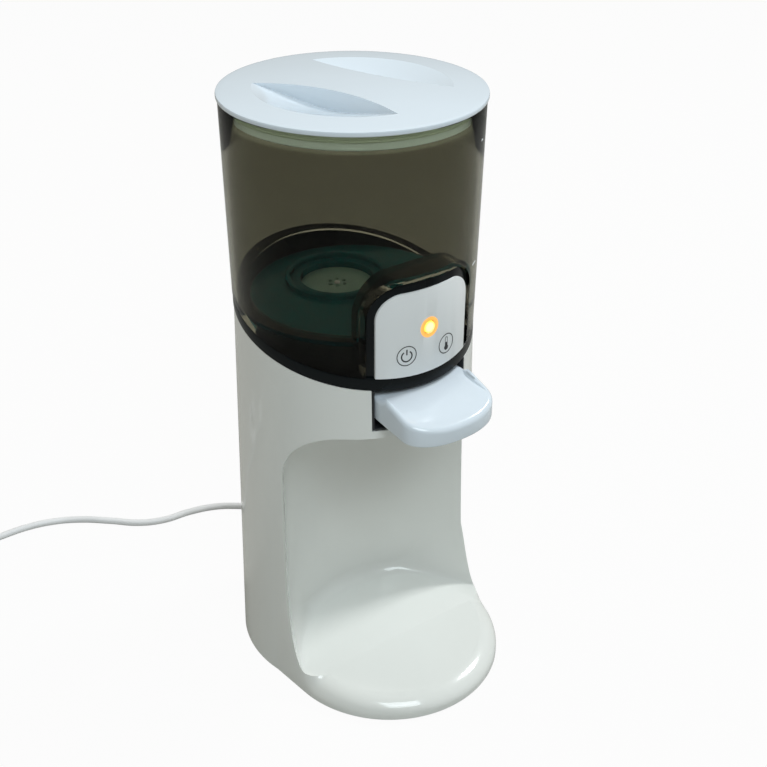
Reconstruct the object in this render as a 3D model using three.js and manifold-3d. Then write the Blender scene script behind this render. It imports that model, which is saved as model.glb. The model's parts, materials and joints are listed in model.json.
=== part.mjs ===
// Instant bottle warmer: a tower with a bottle bay, a lift-off tinted tank and a push-down lever.
// Millimetres, +Z up, the front with the lever and the foot towards -Y.
import * as THREE from 'three';
import { mergeVertices } from 'three/addons/utils/BufferGeometryUtils.js';
import Module from 'manifold-3d';

const wasm = await Module();
wasm.setup();

// Units and shared clearances
const mm = 1;
const deg = Math.PI / 180;
const gap = 0.3 * mm;
const runningGap = 0.7 * mm;
const overrun = 8 * mm;
const roundSteps = 56;
const smallSteps = 24;

// Tower shell and its foot
const footRubber = 1.5 * mm;
const wall = 2.6 * mm;
const baseRadius = 66.7 * mm;
const sideTaper = 4.5 * mm;
const rimHeight = 207.4 * mm;
const rimTilt = 14.5 * deg;
const toeTrim = 3.5 * mm;
const toeReach = 32.6 * mm;
const padRear = 17 * mm;
const padFront = 11.5 * mm;
const edgeLow = 4 * mm;
const edgeReach = 12 * mm;
const cheekTop = 58 * mm;
const cheekReach = 3 * mm;
const cheekRearShare = 0.3;
const cheekFrontShare = 0.72;

// Bottle bay in the front of the tower
const bayShare = 1.11;
const bayBackShare = 0.165;
const bayBelowRim = 41.4 * mm;
const bayDome = 30 * mm;
const bayHeel = 7 * mm;
const bayCheekRise = 60 * mm;

// Black seat that carries the tank
const bandHeight = 6.5 * mm;
const seatPlate = 2.5 * mm;
const stepIn = 5.4 * mm;
const plinthRise = 9 * mm;
const plinthInset = 3.3 * mm;
const plugDepth = 9 * mm;

// Tank
const tankFlare = 2 * mm;
const tankDepth = 101.7 * mm;
const tankWall = 2.4 * mm;
const tankFloor = 2.5 * mm;

// Outlet in the tank floor
const outletShare = 0.225;
const ringRadius = 27.5 * mm;
const ringWidth = 3.4 * mm;
const ringHeight = 3 * mm;
const wellRadius = 19.4 * mm;
const wellDepth = 6 * mm;
const capThickness = 2.6 * mm;
const neckRadius = 10 * mm;
const neckBore = 6.5 * mm;
const neckLength = 11 * mm;
const valveHead = 5.6 * mm;
const valveSeatBore = 4.2 * mm;
const valveSeatThickness = 1.5 * mm;
const valveStem = 1.6 * mm;
const valveTail = 3.2 * mm;

// Lid
const lidOverhang = 0.8 * mm;
const lidEdge = 2.4 * mm;
const lidDome = 2.8 * mm;
const lidWall = 2.4 * mm;
const skirtHeight = 7.6 * mm;
const skirtGap = 1.1 * mm;
const scoopShare = 0.738;
const scoopDepth = 8.4 * mm;
const waistShare = 0.246;
const ridgeEndShare = 0.377;
const lidTurn = 20 * deg;

// Control housing and its label
const housingHalf = 31 * mm;
const housingRise = 40.6 * mm;
const housingDepth = 13.5 * mm;
const housingWall = 1.8 * mm;
const labelMargin = 3.4 * mm;
const labelDrop = 4.6 * mm;
const labelThickness = 1 * mm;
const labelCorner = 13 * mm;
const lampRise = 15 * mm;
const lampRadius = 3.2 * mm;

// Lever and its slot
const slotHalf = 29.3 * mm;
const slotAboveBay = 4.1 * mm;
const linerWall = 1 * mm;
const linerDepth = 22 * mm;
const leverSide = 2 * mm;
const leverRise = 20.7 * mm;
const leverFallShare = 0.31;
const leverOut = 28.8 * mm;
const leverNose = 15 * mm;
const leverRoot = 15.3 * mm;
const leverNoseRise = 2.5 * mm;
const nosePower = 2.2;
const pivotRise = 11.4 * mm;
const earHalf = 4 * mm;
const hubRadius = 5.5 * mm;
const pinRadius = 2 * mm;
const pinGap = 0.05 * mm;
const armHalf = 5 * mm;
const armThickness = 7 * mm;
const rollerRadius = 3 * mm;
const rodRadius = 2 * mm;

// Water cup under the tank outlet, heater and spout
const cupBore = 13 * mm;
const cupWall = 2.5 * mm;
const cupDepth = 12.7 * mm;
const hoseRadius = 3 * mm;
const heaterRadius = 15.5 * mm;
const heaterLength = 66 * mm;
const heaterBelowRim = 31.4 * mm;
const heaterBack = 3.8 * mm;
const nippleSpread = 7 * mm;
const nippleLength = 8 * mm;
const spoutBack = 0.9 * mm;
const spoutRadius = 5 * mm;
const spoutLip = 1.3 * mm;
const spoutTip = 6 * mm;
const spoutDrop = 8 * mm;

// Electrics and the mains cord
const boardHalf = 29 * mm;
const boardThickness = 1.6 * mm;
const boardLow = 8 * mm;
const boardHighShare = 0.424;
const boardShare = 0.3;
const cordRadius = 2.2 * mm;
const cordX = 14 * mm;
const cordHeight = 9 * mm;
const reliefLength = 30 * mm;
const reliefRadius = 4 * mm;

// Derived places
const tiltShare = Math.tan(rimTilt);
const toeRadius = baseRadius - toeTrim;
const rimRadius = baseRadius - sideTaper;
const tankTopRadius = rimRadius + tankFlare;
const lidRadius = tankTopRadius + lidOverhang;
const axisY = (toeReach + toeRadius - baseRadius) / 2;
const taperShare = sideTaper / rimHeight;
const radiusAt = (z) => baseRadius - taperShare * z;
const rimAt = (y) => rimHeight + tiltShare * y;
const toeTip = -(toeReach + toeRadius);
const bayRadius = bayShare * baseRadius;
const bayBack = bayBackShare * baseRadius;
const bayTop = rimHeight - bayBelowRim;
const padAt = (y) => padRear + (padFront - padRear) * (bayBack - y) / (bayBack - toeTip);
const cheekRearY = -cheekRearShare * baseRadius;
const cheekFrontY = -cheekFrontShare * baseRadius;
const plinthTop = rimHeight + plinthRise;
const tankFloorTop = plinthTop + 2 * gap + tankFloor;
const tankTop = tankFloorTop + tankDepth;
const lidTop = tankTop + gap + lidEdge;
const boreTop = tankTop + overrun;
const outletY = outletShare * baseRadius;
const housingTop = rimHeight + housingRise;
const labelHalf = housingHalf - labelMargin;
const labelTop = housingTop - labelDrop;
const lampHeight = rimHeight + lampRise;
const slotLow = bayTop + slotAboveBay;
const leverHalf = slotHalf - leverSide;
const leverTop = slotLow + leverRise;
const leverReach = rimRadius + leverOut;
const leverNoseUnderside = slotLow + leverNoseRise;
const heaterHigh = rimHeight - heaterBelowRim;
const heaterLow = heaterHigh - heaterLength;
const heaterY = radiusAt(heaterHigh) - wall - heaterRadius - heaterBack;
const spoutFlange = spoutRadius + spoutLip;
const spoutY = -rimRadius + linerDepth + spoutFlange + spoutBack;
const pivotY = spoutY + spoutFlange + earHalf + runningGap;
const pivotZ = slotLow + pivotRise;
const boardY = boardShare * baseRadius;
const boardHigh = boardHighShare * rimHeight;

// Solids and geometries
function solidOf(geometry) {
  const bare = geometry.clone();
  bare.deleteAttribute('normal');
  bare.deleteAttribute('uv');
  const merged = mergeVertices(bare, 1e-4);
  return new wasm.Manifold(new wasm.Mesh({
    numProp: 3,
    vertProperties: new Float32Array(merged.attributes.position.array),
    triVerts: new Uint32Array(merged.index.array),
  }));
}

function geometryOf(solid) {
  const mesh = solid.getMesh();
  const geometry = new THREE.BufferGeometry();
  geometry.setAttribute('position', new THREE.BufferAttribute(new Float32Array(mesh.vertProperties), 3));
  geometry.setIndex(new THREE.BufferAttribute(new Uint32Array(mesh.triVerts), 1));
  geometry.computeVertexNormals();
  return geometry;
}

// A profile of [radius, height] pairs turned about a vertical line at x, y
function turned(profile, x = 0, y = 0, steps = roundSteps) {
  const points = profile.map(([radius, height]) => new THREE.Vector2(radius, height));
  const geometry = new THREE.LatheGeometry(points, steps);
  geometry.rotateX(Math.PI / 2);
  geometry.translate(x, y, 0);
  return solidOf(geometry);
}

function disc(radius, low, high, x = 0, y = 0, steps = roundSteps) {
  return turned([[0, low], [radius, low], [radius, high], [0, high]], x, y, steps);
}

// A ring with square edges about a vertical line on the middle plane
function ringOf(inner, outer, low, high, y, steps = smallSteps) {
  return turned([[inner, low], [outer, low], [outer, high], [inner, high], [inner, low]], 0, y, steps);
}

function cone(lowRadius, highRadius, low, high, steps = roundSteps) {
  return turned([[0, low], [lowRadius, low], [highRadius, high], [0, high]], 0, 0, steps);
}

function block(x0, x1, y0, y1, z0, z1) {
  const geometry = new THREE.BoxGeometry(x1 - x0, y1 - y0, z1 - z0);
  geometry.translate((x0 + x1) / 2, (y0 + y1) / 2, (z0 + z1) / 2);
  return solidOf(geometry);
}

// A rod or a hole along X through y, z
function crossRod(radius, x0, x1, y, z, steps = 16) {
  const geometry = new THREE.CylinderGeometry(radius, radius, x1 - x0, steps);
  geometry.rotateZ(Math.PI / 2);
  geometry.translate((x0 + x1) / 2, y, z);
  return solidOf(geometry);
}

// A rod or a hole along Y through x, z
function lengthRod(radius, x, y0, y1, z, steps = smallSteps) {
  const geometry = new THREE.CylinderGeometry(radius, radius, y1 - y0, steps);
  geometry.translate(x, (y0 + y1) / 2, z);
  return solidOf(geometry);
}

// An outline in x, z carried along Y
function frontPrism(shape, y0, y1, steps = 12) {
  const settings = { depth: y1 - y0, bevelEnabled: false, curveSegments: steps };
  const geometry = new THREE.ExtrudeGeometry(shape, settings);
  geometry.rotateX(Math.PI / 2);
  geometry.translate(0, y1, 0);
  return solidOf(geometry);
}

// An outline in x, y carried along Z
function plate(shape, low, high, steps = 12) {
  const settings = { depth: high - low, bevelEnabled: false, curveSegments: steps };
  const geometry = new THREE.ExtrudeGeometry(shape, settings);
  geometry.translate(0, 0, low);
  return solidOf(geometry);
}

// Everything below the tilted plane that crosses the axis at this height
function belowTilt(height) {
  const size = 8 * baseRadius;
  const geometry = new THREE.BoxGeometry(size, size, size);
  geometry.translate(0, 0, -size / 2);
  geometry.rotateX(rimTilt);
  geometry.translate(0, 0, height);
  return solidOf(geometry);
}

// Rings of equal length joined into a closed skin, with a fan over each end
function loft(rings) {
  const count = rings[0].length;
  const points = rings.flat();
  const faces = [];
  for (let k = 0; k + 1 < rings.length; k += 1) {
    for (let i = 0; i < count; i += 1) {
      const a = k * count + i;
      const b = k * count + (i + 1) % count;
      faces.push(a, b, b + count, a, b + count, a + count);
    }
  }
  for (const [start, flip] of [[0, true], [(rings.length - 1) * count, false]]) {
    const middle = points.slice(start, start + count).reduce((sum, p) => sum.add(p), new THREE.Vector3());
    const hub = points.length;
    points.push(middle.multiplyScalar(1 / count));
    for (let i = 0; i < count; i += 1) {
      const a = start + i;
      const b = start + (i + 1) % count;
      faces.push(...(flip ? [b, a, hub] : [a, b, hub]));
    }
  }
  const geometry = new THREE.BufferGeometry().setFromPoints(points);
  geometry.setIndex(faces);
  return solidOf(geometry);
}

// A round bar along a smooth curve, as a geometry
function barAlong(points, radius, steps, sides = 8) {
  const corners = Array.from({ length: sides }, (_, k) => {
    const angle = k / sides * 2 * Math.PI;
    return new THREE.Vector2(radius * Math.cos(angle), radius * Math.sin(angle));
  });
  const path = new THREE.CatmullRomCurve3(points.map((p) => new THREE.Vector3(...p)));
  const settings = { steps, extrudePath: path, bevelEnabled: false };
  return new THREE.ExtrudeGeometry(new THREE.Shape(corners), settings);
}

const smooth = (low, high, value) => THREE.MathUtils.smoothstep(value, low, high);
const mix = THREE.MathUtils.lerp;
const joined = (first, ...others) => others.reduce((sum, next) => sum.add(next), first);
const cut = (first, ...others) => others.reduce((rest, next) => rest.subtract(next), first);

const object = new THREE.Group();
object.position.y = axisY;

function piece(name, shape, color, roughness, metalness = 0) {
  const geometry = shape.isBufferGeometry ? shape : geometryOf(shape);
  const mesh = new THREE.Mesh(geometry, new THREE.MeshStandardMaterial({ color, roughness, metalness }));
  mesh.name = name;
  object.add(mesh);
}

// Foot outline from the right: the round of the tower, a straight flank, the round of the toe
// and the other flank
const outlineSteps = 64;
const rearShare = 0.3;
const flankShare = 0.14;
function outlinePoint(share, inset, lean) {
  const rear = baseRadius - inset - lean;
  const toe = toeRadius - inset - lean;
  const tangent = Math.asin((rear - toe) / toeReach);
  const onRear = (angle) => new THREE.Vector2(rear * Math.cos(angle), rear * Math.sin(angle));
  const onToe = (angle) => new THREE.Vector2(toe * Math.cos(angle), toe * Math.sin(angle) - toeReach);
  const left = Math.PI + tangent;
  const toeStart = rearShare + flankShare;
  const toeEnd = 1 - flankShare;
  let point;
  if (share < rearShare) {
    point = onRear(mix(-tangent, left, share / rearShare));
  } else if (share < toeStart) {
    point = onRear(left).lerp(onToe(left), (share - rearShare) / flankShare);
  } else if (share < toeEnd) {
    point = onToe(mix(left, 2 * Math.PI - tangent, (share - toeStart) / (toeEnd - toeStart)));
  } else {
    point = onToe(-tangent).lerp(onRear(-tangent), (share - toeEnd) / flankShare);
  }
  return point.toArray();
}

// The foot: a low pebble edge round the toe that rises into the cheeks of the bay
function footSolid(inset, low) {
  const edgeSteps = inset > 0 ? 3 : 5;
  const tuck = 0.5 * mm;
  const padInset = 1.5 * edgeReach;
  const ring = (heightAt, turn, extra) => {
    const row = [];
    for (let i = 0; i < outlineSteps; i += 1) {
      const share = i / outlineSteps;
      const [, y] = outlinePoint(share, inset, 0);
      const rise = smooth(cheekFrontY, cheekRearY, y);
      const round = inset + mix(edgeReach, cheekReach, rise) * (1 - Math.cos(turn)) + extra;
      const [, padY] = outlinePoint(share, round, 0);
      const z = heightAt(padAt(padY) - inset, extra > 0 ? 0 : rise);
      const behind = smooth(cheekFrontY, 0, y) * (tuck + taperShare * z);
      const [x, ringY] = outlinePoint(share, round, behind);
      row.push(new THREE.Vector3(x, ringY, z));
    }
    return row;
  };
  const rings = [ring(() => low, 0, 0)];
  for (let k = 0; k <= edgeSteps; k += 1) {
    const turn = k / edgeSteps * Math.PI / 2;
    rings.push(ring((pad, rise) => mix(edgeLow, mix(pad, cheekTop - inset, rise), Math.sin(turn)), turn, 0));
  }
  rings.push(ring((pad) => pad, Math.PI / 2, padInset));
  return loft(rings);
}

// The bay as a solid: a tall round of air with a domed ceiling, and walls that lean out over its
// floor in a tight heel at the back and a long one along the cheeks
function baySolid(grow) {
  const centreY = bayBack - bayRadius;
  const radius = bayRadius + grow;
  const steps = grow > 0 ? roundSteps / 2 : roundSteps;
  const heelSteps = grow > 0 ? 3 : 5;
  const domeSteps = grow > 0 ? 4 : 6;
  const padCut = 0.1 * mm;
  const backSpread = 25 * deg;
  const cheekSpread = 60 * deg;
  const ring = (reach, heightAt) => {
    const row = [];
    for (let i = 0; i < steps; i += 1) {
      const angle = i / steps * 2 * Math.PI;
      const aside = Math.acos(Math.min(1, Math.sin(angle)));
      const heelRise = mix(bayHeel, bayCheekRise, smooth(backSpread, cheekSpread, aside)) + grow;
      const y = centreY + reach * Math.sin(angle);
      row.push(new THREE.Vector3(reach * Math.cos(angle), y, heightAt(y, heelRise)));
    }
    return row;
  };
  const rings = [];
  for (let k = 0; k <= heelSteps; k += 1) {
    const turn = k / heelSteps * Math.PI / 2;
    rings.push(ring(
      radius - (bayHeel + grow) * (1 - Math.sin(turn)),
      (y, heelRise) => padAt(y) - padCut - grow + heelRise * (1 - Math.cos(turn)),
    ));
  }
  const dome = bayDome + grow;
  for (let k = 0; k <= domeSteps; k += 1) {
    const turn = k / domeSteps * Math.PI / 2;
    rings.push(ring(radius - dome * (1 - Math.cos(turn)), () => bayTop + grow - dome * (1 - Math.sin(turn))));
  }
  return loft(rings);
}

function towerSolid(inset, low) {
  const high = rimAt(baseRadius) + overrun;
  const tower = cone(radiusAt(low) - inset, radiusAt(high) - inset, low, high);
  return cut(joined(tower, footSolid(inset, low)), baySolid(inset));
}

const shellLow = footRubber;
// One place near each corner: so far inside the toe's round or the tower's, and that far off the side
function placesAt(toeInset, toeTurn, rearInset, rearTurn) {
  const toe = toeRadius - toeInset;
  const rear = baseRadius - rearInset;
  return [1, -1].flatMap((side) => [
    [side * toe * Math.cos(toeTurn), -toeReach - toe * Math.sin(toeTurn)],
    [side * rear * Math.cos(rearTurn), rear * Math.sin(rearTurn)],
  ]);
}
const postToeInset = 18.3 * mm;
const postToeTurn = 50 * deg;
const postRearInset = 6.5 * mm;
const postRearTurn = 41.6 * deg;
const postPlaces = placesAt(postToeInset, postToeTurn, postRearInset, postRearTurn);
const postRadius = 4 * mm;
const screwRadius = 1.4 * mm;
const baseThickness = 3 * mm;
const baseTop = shellLow + baseThickness;
const rearPostTop = 30 * mm;
const reliefHole = reliefRadius + gap;
const exitY = Math.sqrt(radiusAt(cordHeight) ** 2 - cordX ** 2);

const screwBite = 5 * mm;
function towerShell() {
  const outer = towerSolid(0, shellLow);
  const inner = towerSolid(wall, shellLow - overrun);
  const posts = postPlaces.map(([x, y]) => {
    const top = y < 0 ? padAt(y) : rearPostTop;
    return disc(postRadius, baseTop + gap, top, x, y, 16);
  });
  const holeTop = baseTop + screwBite + 1 * mm;
  const holes = postPlaces.map(([x, y]) => disc(screwRadius + gap, shellLow - overrun, holeTop, x, y, 8));
  const hollow = cut(outer, inner);
  const whole = joined(hollow, ...posts.map((post) => post.intersect(outer)));
  const above = block(-2 * baseRadius, 2 * baseRadius, -2 * baseRadius, 2 * baseRadius, 0, 2 * tankTop)
    .subtract(belowTilt(rimHeight));
  const slot = block(-slotHalf, slotHalf, -2 * baseRadius, -rimRadius / 2, slotLow, rimHeight + overrun);
  const spoutHole = disc(spoutRadius + gap, bayTop - overrun, bayTop + overrun, 0, spoutY, smallSteps);
  const cordHole = lengthRod(reliefHole, cordX, exitY - overrun, exitY + overrun, cordHeight);
  return cut(whole, above, slot, spoutHole, cordHole, ...holes);
}

piece('tower_shell', towerShell(), 0xe4e9ea, 0.16);

// Seat: the black band that shows, a plug inside the shell, and a plinth that carries the tank
const bandRadius = rimRadius + 0.2 * mm;
const plugRadius = radiusAt(rimAt(baseRadius)) - wall - gap;
const bandBore = bandRadius - stepIn;
const plinthRadius = bandBore - plinthInset;
const socketRadius = wellRadius + tankWall + runningGap;
const wellFloorTop = tankFloorTop - wellDepth;
const wellUnder = wellFloorTop - tankFloor;
const socketFloor = wellUnder - gap;
const cupFloor = socketFloor - cupDepth;
const widest = 2 * baseRadius;
const everything = () => block(-widest, widest, -widest, widest, -tankTop, 2 * tankTop);
const aboveTilt = (height) => everything().subtract(belowTilt(height));

// Front view outline of the control housing or its label, grown by the same distance all round
function faceOutline(half, top, low, corner, grow) {
  const shape = new THREE.Shape();
  const wide = half + grow;
  const high = top + grow;
  const round = corner + grow;
  shape.moveTo(-wide, low);
  shape.lineTo(wide, low);
  shape.lineTo(wide, high - round);
  shape.absarc(wide - round, high - round, round, 0, Math.PI / 2);
  shape.lineTo(-wide + round, high);
  shape.absarc(-wide + round, high - round, round, Math.PI / 2, Math.PI);
  shape.closePath();
  return shape;
}

const alcoveRoom = runningGap + tankWall + gap;
const housingCorner = labelCorner + housingHalf - labelHalf;
const housingRearY = -(rimRadius - housingDepth);
function housingBlock(grow) {
  const outline = faceOutline(housingHalf, housingTop, rimAt(-rimRadius), housingCorner, grow);
  return frontPrism(outline, -widest, housingRearY + grow);
}

const cupNippleEnd = outletY + cupBore + nippleLength / 2;
const cupNippleZ = cupFloor + hoseRadius;
function seatTray() {
  const band = disc(bandRadius, rimAt(-baseRadius), rimAt(baseRadius) + bandHeight)
    .intersect(aboveTilt(rimHeight + gap)).intersect(belowTilt(rimHeight + bandHeight));
  const plug = disc(plugRadius, rimAt(-baseRadius) - plugDepth, rimAt(baseRadius))
    .intersect(aboveTilt(rimHeight - plugDepth)).intersect(belowTilt(rimHeight + 2 * gap));
  const plinth = disc(plinthRadius, rimAt(-baseRadius), plinthTop);
  const cupOuter = disc(cupBore + cupWall, cupFloor - cupWall, plinthTop - gap, 0, outletY, 24);
  const sleeve = disc(socketRadius + seatPlate, socketFloor - seatPlate, plinthTop - gap, 0, outletY, 36);
  const over = plinthTop + overrun * 4;
  const tankRoom = joined(
    disc(bandBore, plinthTop, over),
    disc(bandBore, 0, over).subtract(disc(plinthRadius, -overrun, over + overrun))
      .intersect(aboveTilt(rimHeight + seatPlate)),
  );
  const alcoveSkin = housingBlock(alcoveRoom + seatPlate).intersect(aboveTilt(rimHeight));
  const under = joined(
    disc(bandBore, 0, plinthTop - seatPlate).intersect(belowTilt(rimHeight)),
    disc(plinthRadius - seatPlate, 0, plinthTop - seatPlate).subtract(alcoveSkin),
  );
  const nipple = lengthRod(hoseRadius, 0, outletY + cupBore, cupNippleEnd, cupNippleZ, 16);
  const nippleBore = lengthRod(hoseRadius / 2, 0, outletY, cupNippleEnd + nippleLength, cupNippleZ, 12);
  const roomRear = -rimRadius + linerDepth + 2 * linerWall;
  const leverRoom = block(-slotHalf - gap, slotHalf + gap, -widest, roomRear, 0, rimHeight)
    .intersect(belowTilt(rimHeight));
  const shell = cut(joined(band, plug, plinth), tankRoom, under, leverRoom);
  const cup = cut(
    joined(sleeve, cupOuter, nipple),
    disc(socketRadius, socketFloor, plinthTop + overrun, 0, outletY, 36),
    disc(cupBore, cupFloor, socketFloor + overrun, 0, outletY, 24),
    disc(rodRadius + gap, 0, cupFloor + overrun, 0, outletY, 16),
    nippleBore,
  );
  const socketMouth = disc(socketRadius, socketFloor, plinthTop + overrun, 0, outletY, 36);
  const alcove = housingBlock(alcoveRoom)
    .intersect(aboveTilt(rimHeight + seatPlate))
    .intersect(disc(bandBore, 0, tankTop));
  return cut(joined(shell.subtract(socketMouth), cup), alcove);
}
piece('seat_tray', seatTray(), 0x101214, 0.3);

// Control housing that stands on the seat in front of the tank, with its board, label and lamp
const stepPlane = rimHeight + bandHeight + gap;
const housingFront = rimRadius - labelThickness;
function housingShape(grow, frontRadius) {
  return housingBlock(grow)
    .intersect(disc(frontRadius, rimAt(-baseRadius), housingTop + overrun))
    .intersect(aboveTilt(stepPlane - grow));
}
function controlHousing() {
  const outer = housingShape(0, housingFront);
  const inside = housingBlock(-housingWall)
    .intersect(disc(housingFront - housingWall, rimAt(-baseRadius), housingTop + overrun))
    .intersect(aboveTilt(stepPlane + housingWall));
  const mouth = block(-lampRadius, lampRadius, housingRearY - 2 * housingWall, housingRearY + overrun,
    lampHeight, lampHeight + 2 * lampRadius);
  const lampHole = lengthRod(lampRadius + gap, 0, -widest, housingRearY - housingWall, lampHeight);
  return cut(outer, inside, mouth, lampHole);
}
piece('control_housing', controlHousing(), 0x24282a, 0.22);

function labelPlate() {
  const low = rimAt(-rimRadius) + bandHeight + gap;
  const outline = faceOutline(labelHalf, labelTop, low - overrun, labelCorner, 0);
  return cut(
    frontPrism(outline, -widest, housingRearY)
      .intersect(disc(rimRadius + gap, low - overrun, housingTop))
      .intersect(aboveTilt(stepPlane)),
    disc(housingFront + gap, low - 2 * overrun, housingTop + overrun),
    lengthRod(lampRadius + gap, 0, -widest, housingRearY, lampHeight),
  );
}
piece('control_label', labelPlate(), 0xe8eaea, 0.3);

const lampFrontY = -(rimRadius + 2 * gap);
const touchBack = 6 * mm;
const touchSide = 5.6 * mm;
const touchBoardY = -(housingFront - housingWall) + touchBack;
const touchRearY = touchBoardY + boardThickness;
piece('status_lamp', lengthRod(lampRadius, 0, lampFrontY, touchBoardY - gap, lampHeight), 0xffa010, 0.25);
const touchHalf = labelHalf - touchSide;
const touchLow = stepPlane + tiltShare * touchRearY + housingWall + gap;
const touchHigh = labelTop - housingWall - gap;
const touchBoard = block(-touchHalf, touchHalf, touchBoardY, touchRearY, touchLow, touchHigh);
piece('touch_board', touchBoard, 0x1d5a3a, 0.5);

// Tank: a tinted cylinder whose foot steps in to drop inside the band
const tankOuterAt = (z) => mix(bandRadius, tankTopRadius, (z - rimHeight) / (tankTop - rimHeight));
function coneOf(inset, bottom, top) {
  return cone(tankOuterAt(bottom) - inset, tankOuterAt(top) - inset, bottom, top);
}
function tankShell() {
  const low = rimAt(-baseRadius);
  const spigotOuter = bandBore - gap;
  const spigotTop = tankFloorTop + 2 * overrun;
  const floorUnder = tankFloorTop - tankFloor;
  const abovePlinth = disc(widest, plinthTop + gap, 2 * tankTop);
  const spigotRoom = joined(aboveTilt(rimHeight + seatPlate + gap), abovePlinth);
  const spigot = disc(spigotOuter, low, spigotTop).intersect(spigotRoom);
  const body = joined(coneOf(0, low, tankTop).intersect(aboveTilt(stepPlane)), spigot);
  const wide = (bottom, top) => coneOf(tankWall, bottom, top).intersect(aboveTilt(stepPlane + tankWall));
  const slim = (bottom, top) => disc(spigotOuter - tankWall, bottom, top);
  const upper = joined(wide(tankFloorTop, boreTop), slim(tankFloorTop, spigotTop));
  const lower = joined(wide(low - overrun, floorUnder), slim(low - overrun, floorUnder));
  const alcoveSkin = housingBlock(runningGap + tankWall);
  const alcove = housingBlock(runningGap);
  const wellOuter = disc(wellRadius + tankWall, wellUnder, tankFloorTop, 0, outletY, 36);
  const ring = ringOf(ringRadius - ringWidth, ringRadius, floorUnder, tankFloorTop + ringHeight, outletY, 36);
  const hollow = cut(body, upper.subtract(alcoveSkin), lower.subtract(alcoveSkin));
  return cut(
    joined(hollow, wellOuter, ring),
    disc(wellRadius, wellFloorTop, tankFloorTop + overrun, 0, outletY, 36),
    disc(neckRadius + gap, wellUnder - overrun, wellFloorTop + overrun, 0, outletY, 24),
    alcove,
  );
}
piece('tank', tankShell(), 0x4b4d44, 0.08);

// Outlet valve: a cap that lies in the well, and a plunger held down on its seat by a spring
const capLow = wellFloorTop + gap;
const capHigh = capLow + capThickness;
const neckLow = capLow - neckLength;
const capRadius = wellRadius - gap;
const seatTop = neckLow + valveSeatThickness;
const guideRadius = valveStem + gap;
const slotCount = 6;
const capSlotRadius = 1.2 * mm;
function outletCap() {
  const bodyProfile = [
    [0, neckLow], [neckRadius, neckLow], [neckRadius, capLow],
    [capRadius, capLow], [capRadius, capHigh], [0, capHigh],
  ];
  const slots = [];
  for (let k = 0; k < slotCount; k += 1) {
    const angle = k / slotCount * 2 * Math.PI;
    const reach = (neckBore + guideRadius) / 2;
    const x = reach * Math.cos(angle);
    const y = outletY + reach * Math.sin(angle);
    slots.push(disc(capSlotRadius, capLow - overrun, capHigh + overrun, x, y, 8));
  }
  return cut(
    turned(bodyProfile, 0, outletY, 24),
    disc(neckBore, seatTop, capLow, 0, outletY, 24),
    disc(valveSeatBore, neckLow - overrun, seatTop + overrun / 2, 0, outletY, 16),
    disc(guideRadius, capLow - overrun, capHigh + overrun, 0, outletY, 12),
    ...slots,
  );
}
piece('outlet_cap', outletCap(), 0xaab2a4, 0.35);

const headLow = seatTop + gap;
const headHigh = headLow + 2 * mm;
const stemHigh = capHigh + 0.5 * mm;
const tailLow = neckLow - valveTail;
function plunger() {
  const profile = [
    [0, tailLow], [valveStem, tailLow], [valveStem, headLow], [valveHead, headLow],
    [valveHead, headHigh], [valveStem, headHigh], [valveStem, stemHigh], [0, stemHigh],
  ];
  return turned(profile, 0, outletY, 20);
}
piece('valve_plunger', plunger(), 0xd9dcda, 0.4);

// A round wire wound into an open spring about a vertical line on the middle plane
function coilSpring(radius, wire, low, high, turns, y) {
  const points = [];
  const steps = 8;
  for (let k = 0; k <= turns * steps; k += 1) {
    const angle = k / steps * 2 * Math.PI;
    const z = mix(low + wire, high - wire, k / (turns * steps));
    points.push([radius * Math.cos(angle), y + radius * Math.sin(angle), z]);
  }
  return barAlong(points, wire, turns * steps, 5);
}
const valveCoil = 3.6 * mm;
const valveWire = 0.4 * mm;
const valveSpring = coilSpring(valveCoil, valveWire, headHigh + gap, capLow - gap, 4, outletY);
piece('valve_spring', valveSpring, 0xb8bcc0, 0.3, 1);

const sealLow = neckLow + 2.2 * mm;
const sealHigh = wellUnder - 2 * gap;
piece('outlet_seal', ringOf(neckRadius + gap, cupBore - gap, sealLow, sealHigh, outletY), 0x2c2f31, 0.8);

// Push rod from the lever's roller to the plunger
const rodHigh = tailLow - gap;
const rollerTop = pivotZ + rollerRadius;
piece('push_rod', disc(rodRadius, rollerTop + gap, rodHigh, 0, outletY, 16), 0xc8ccce, 0.35);

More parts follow.
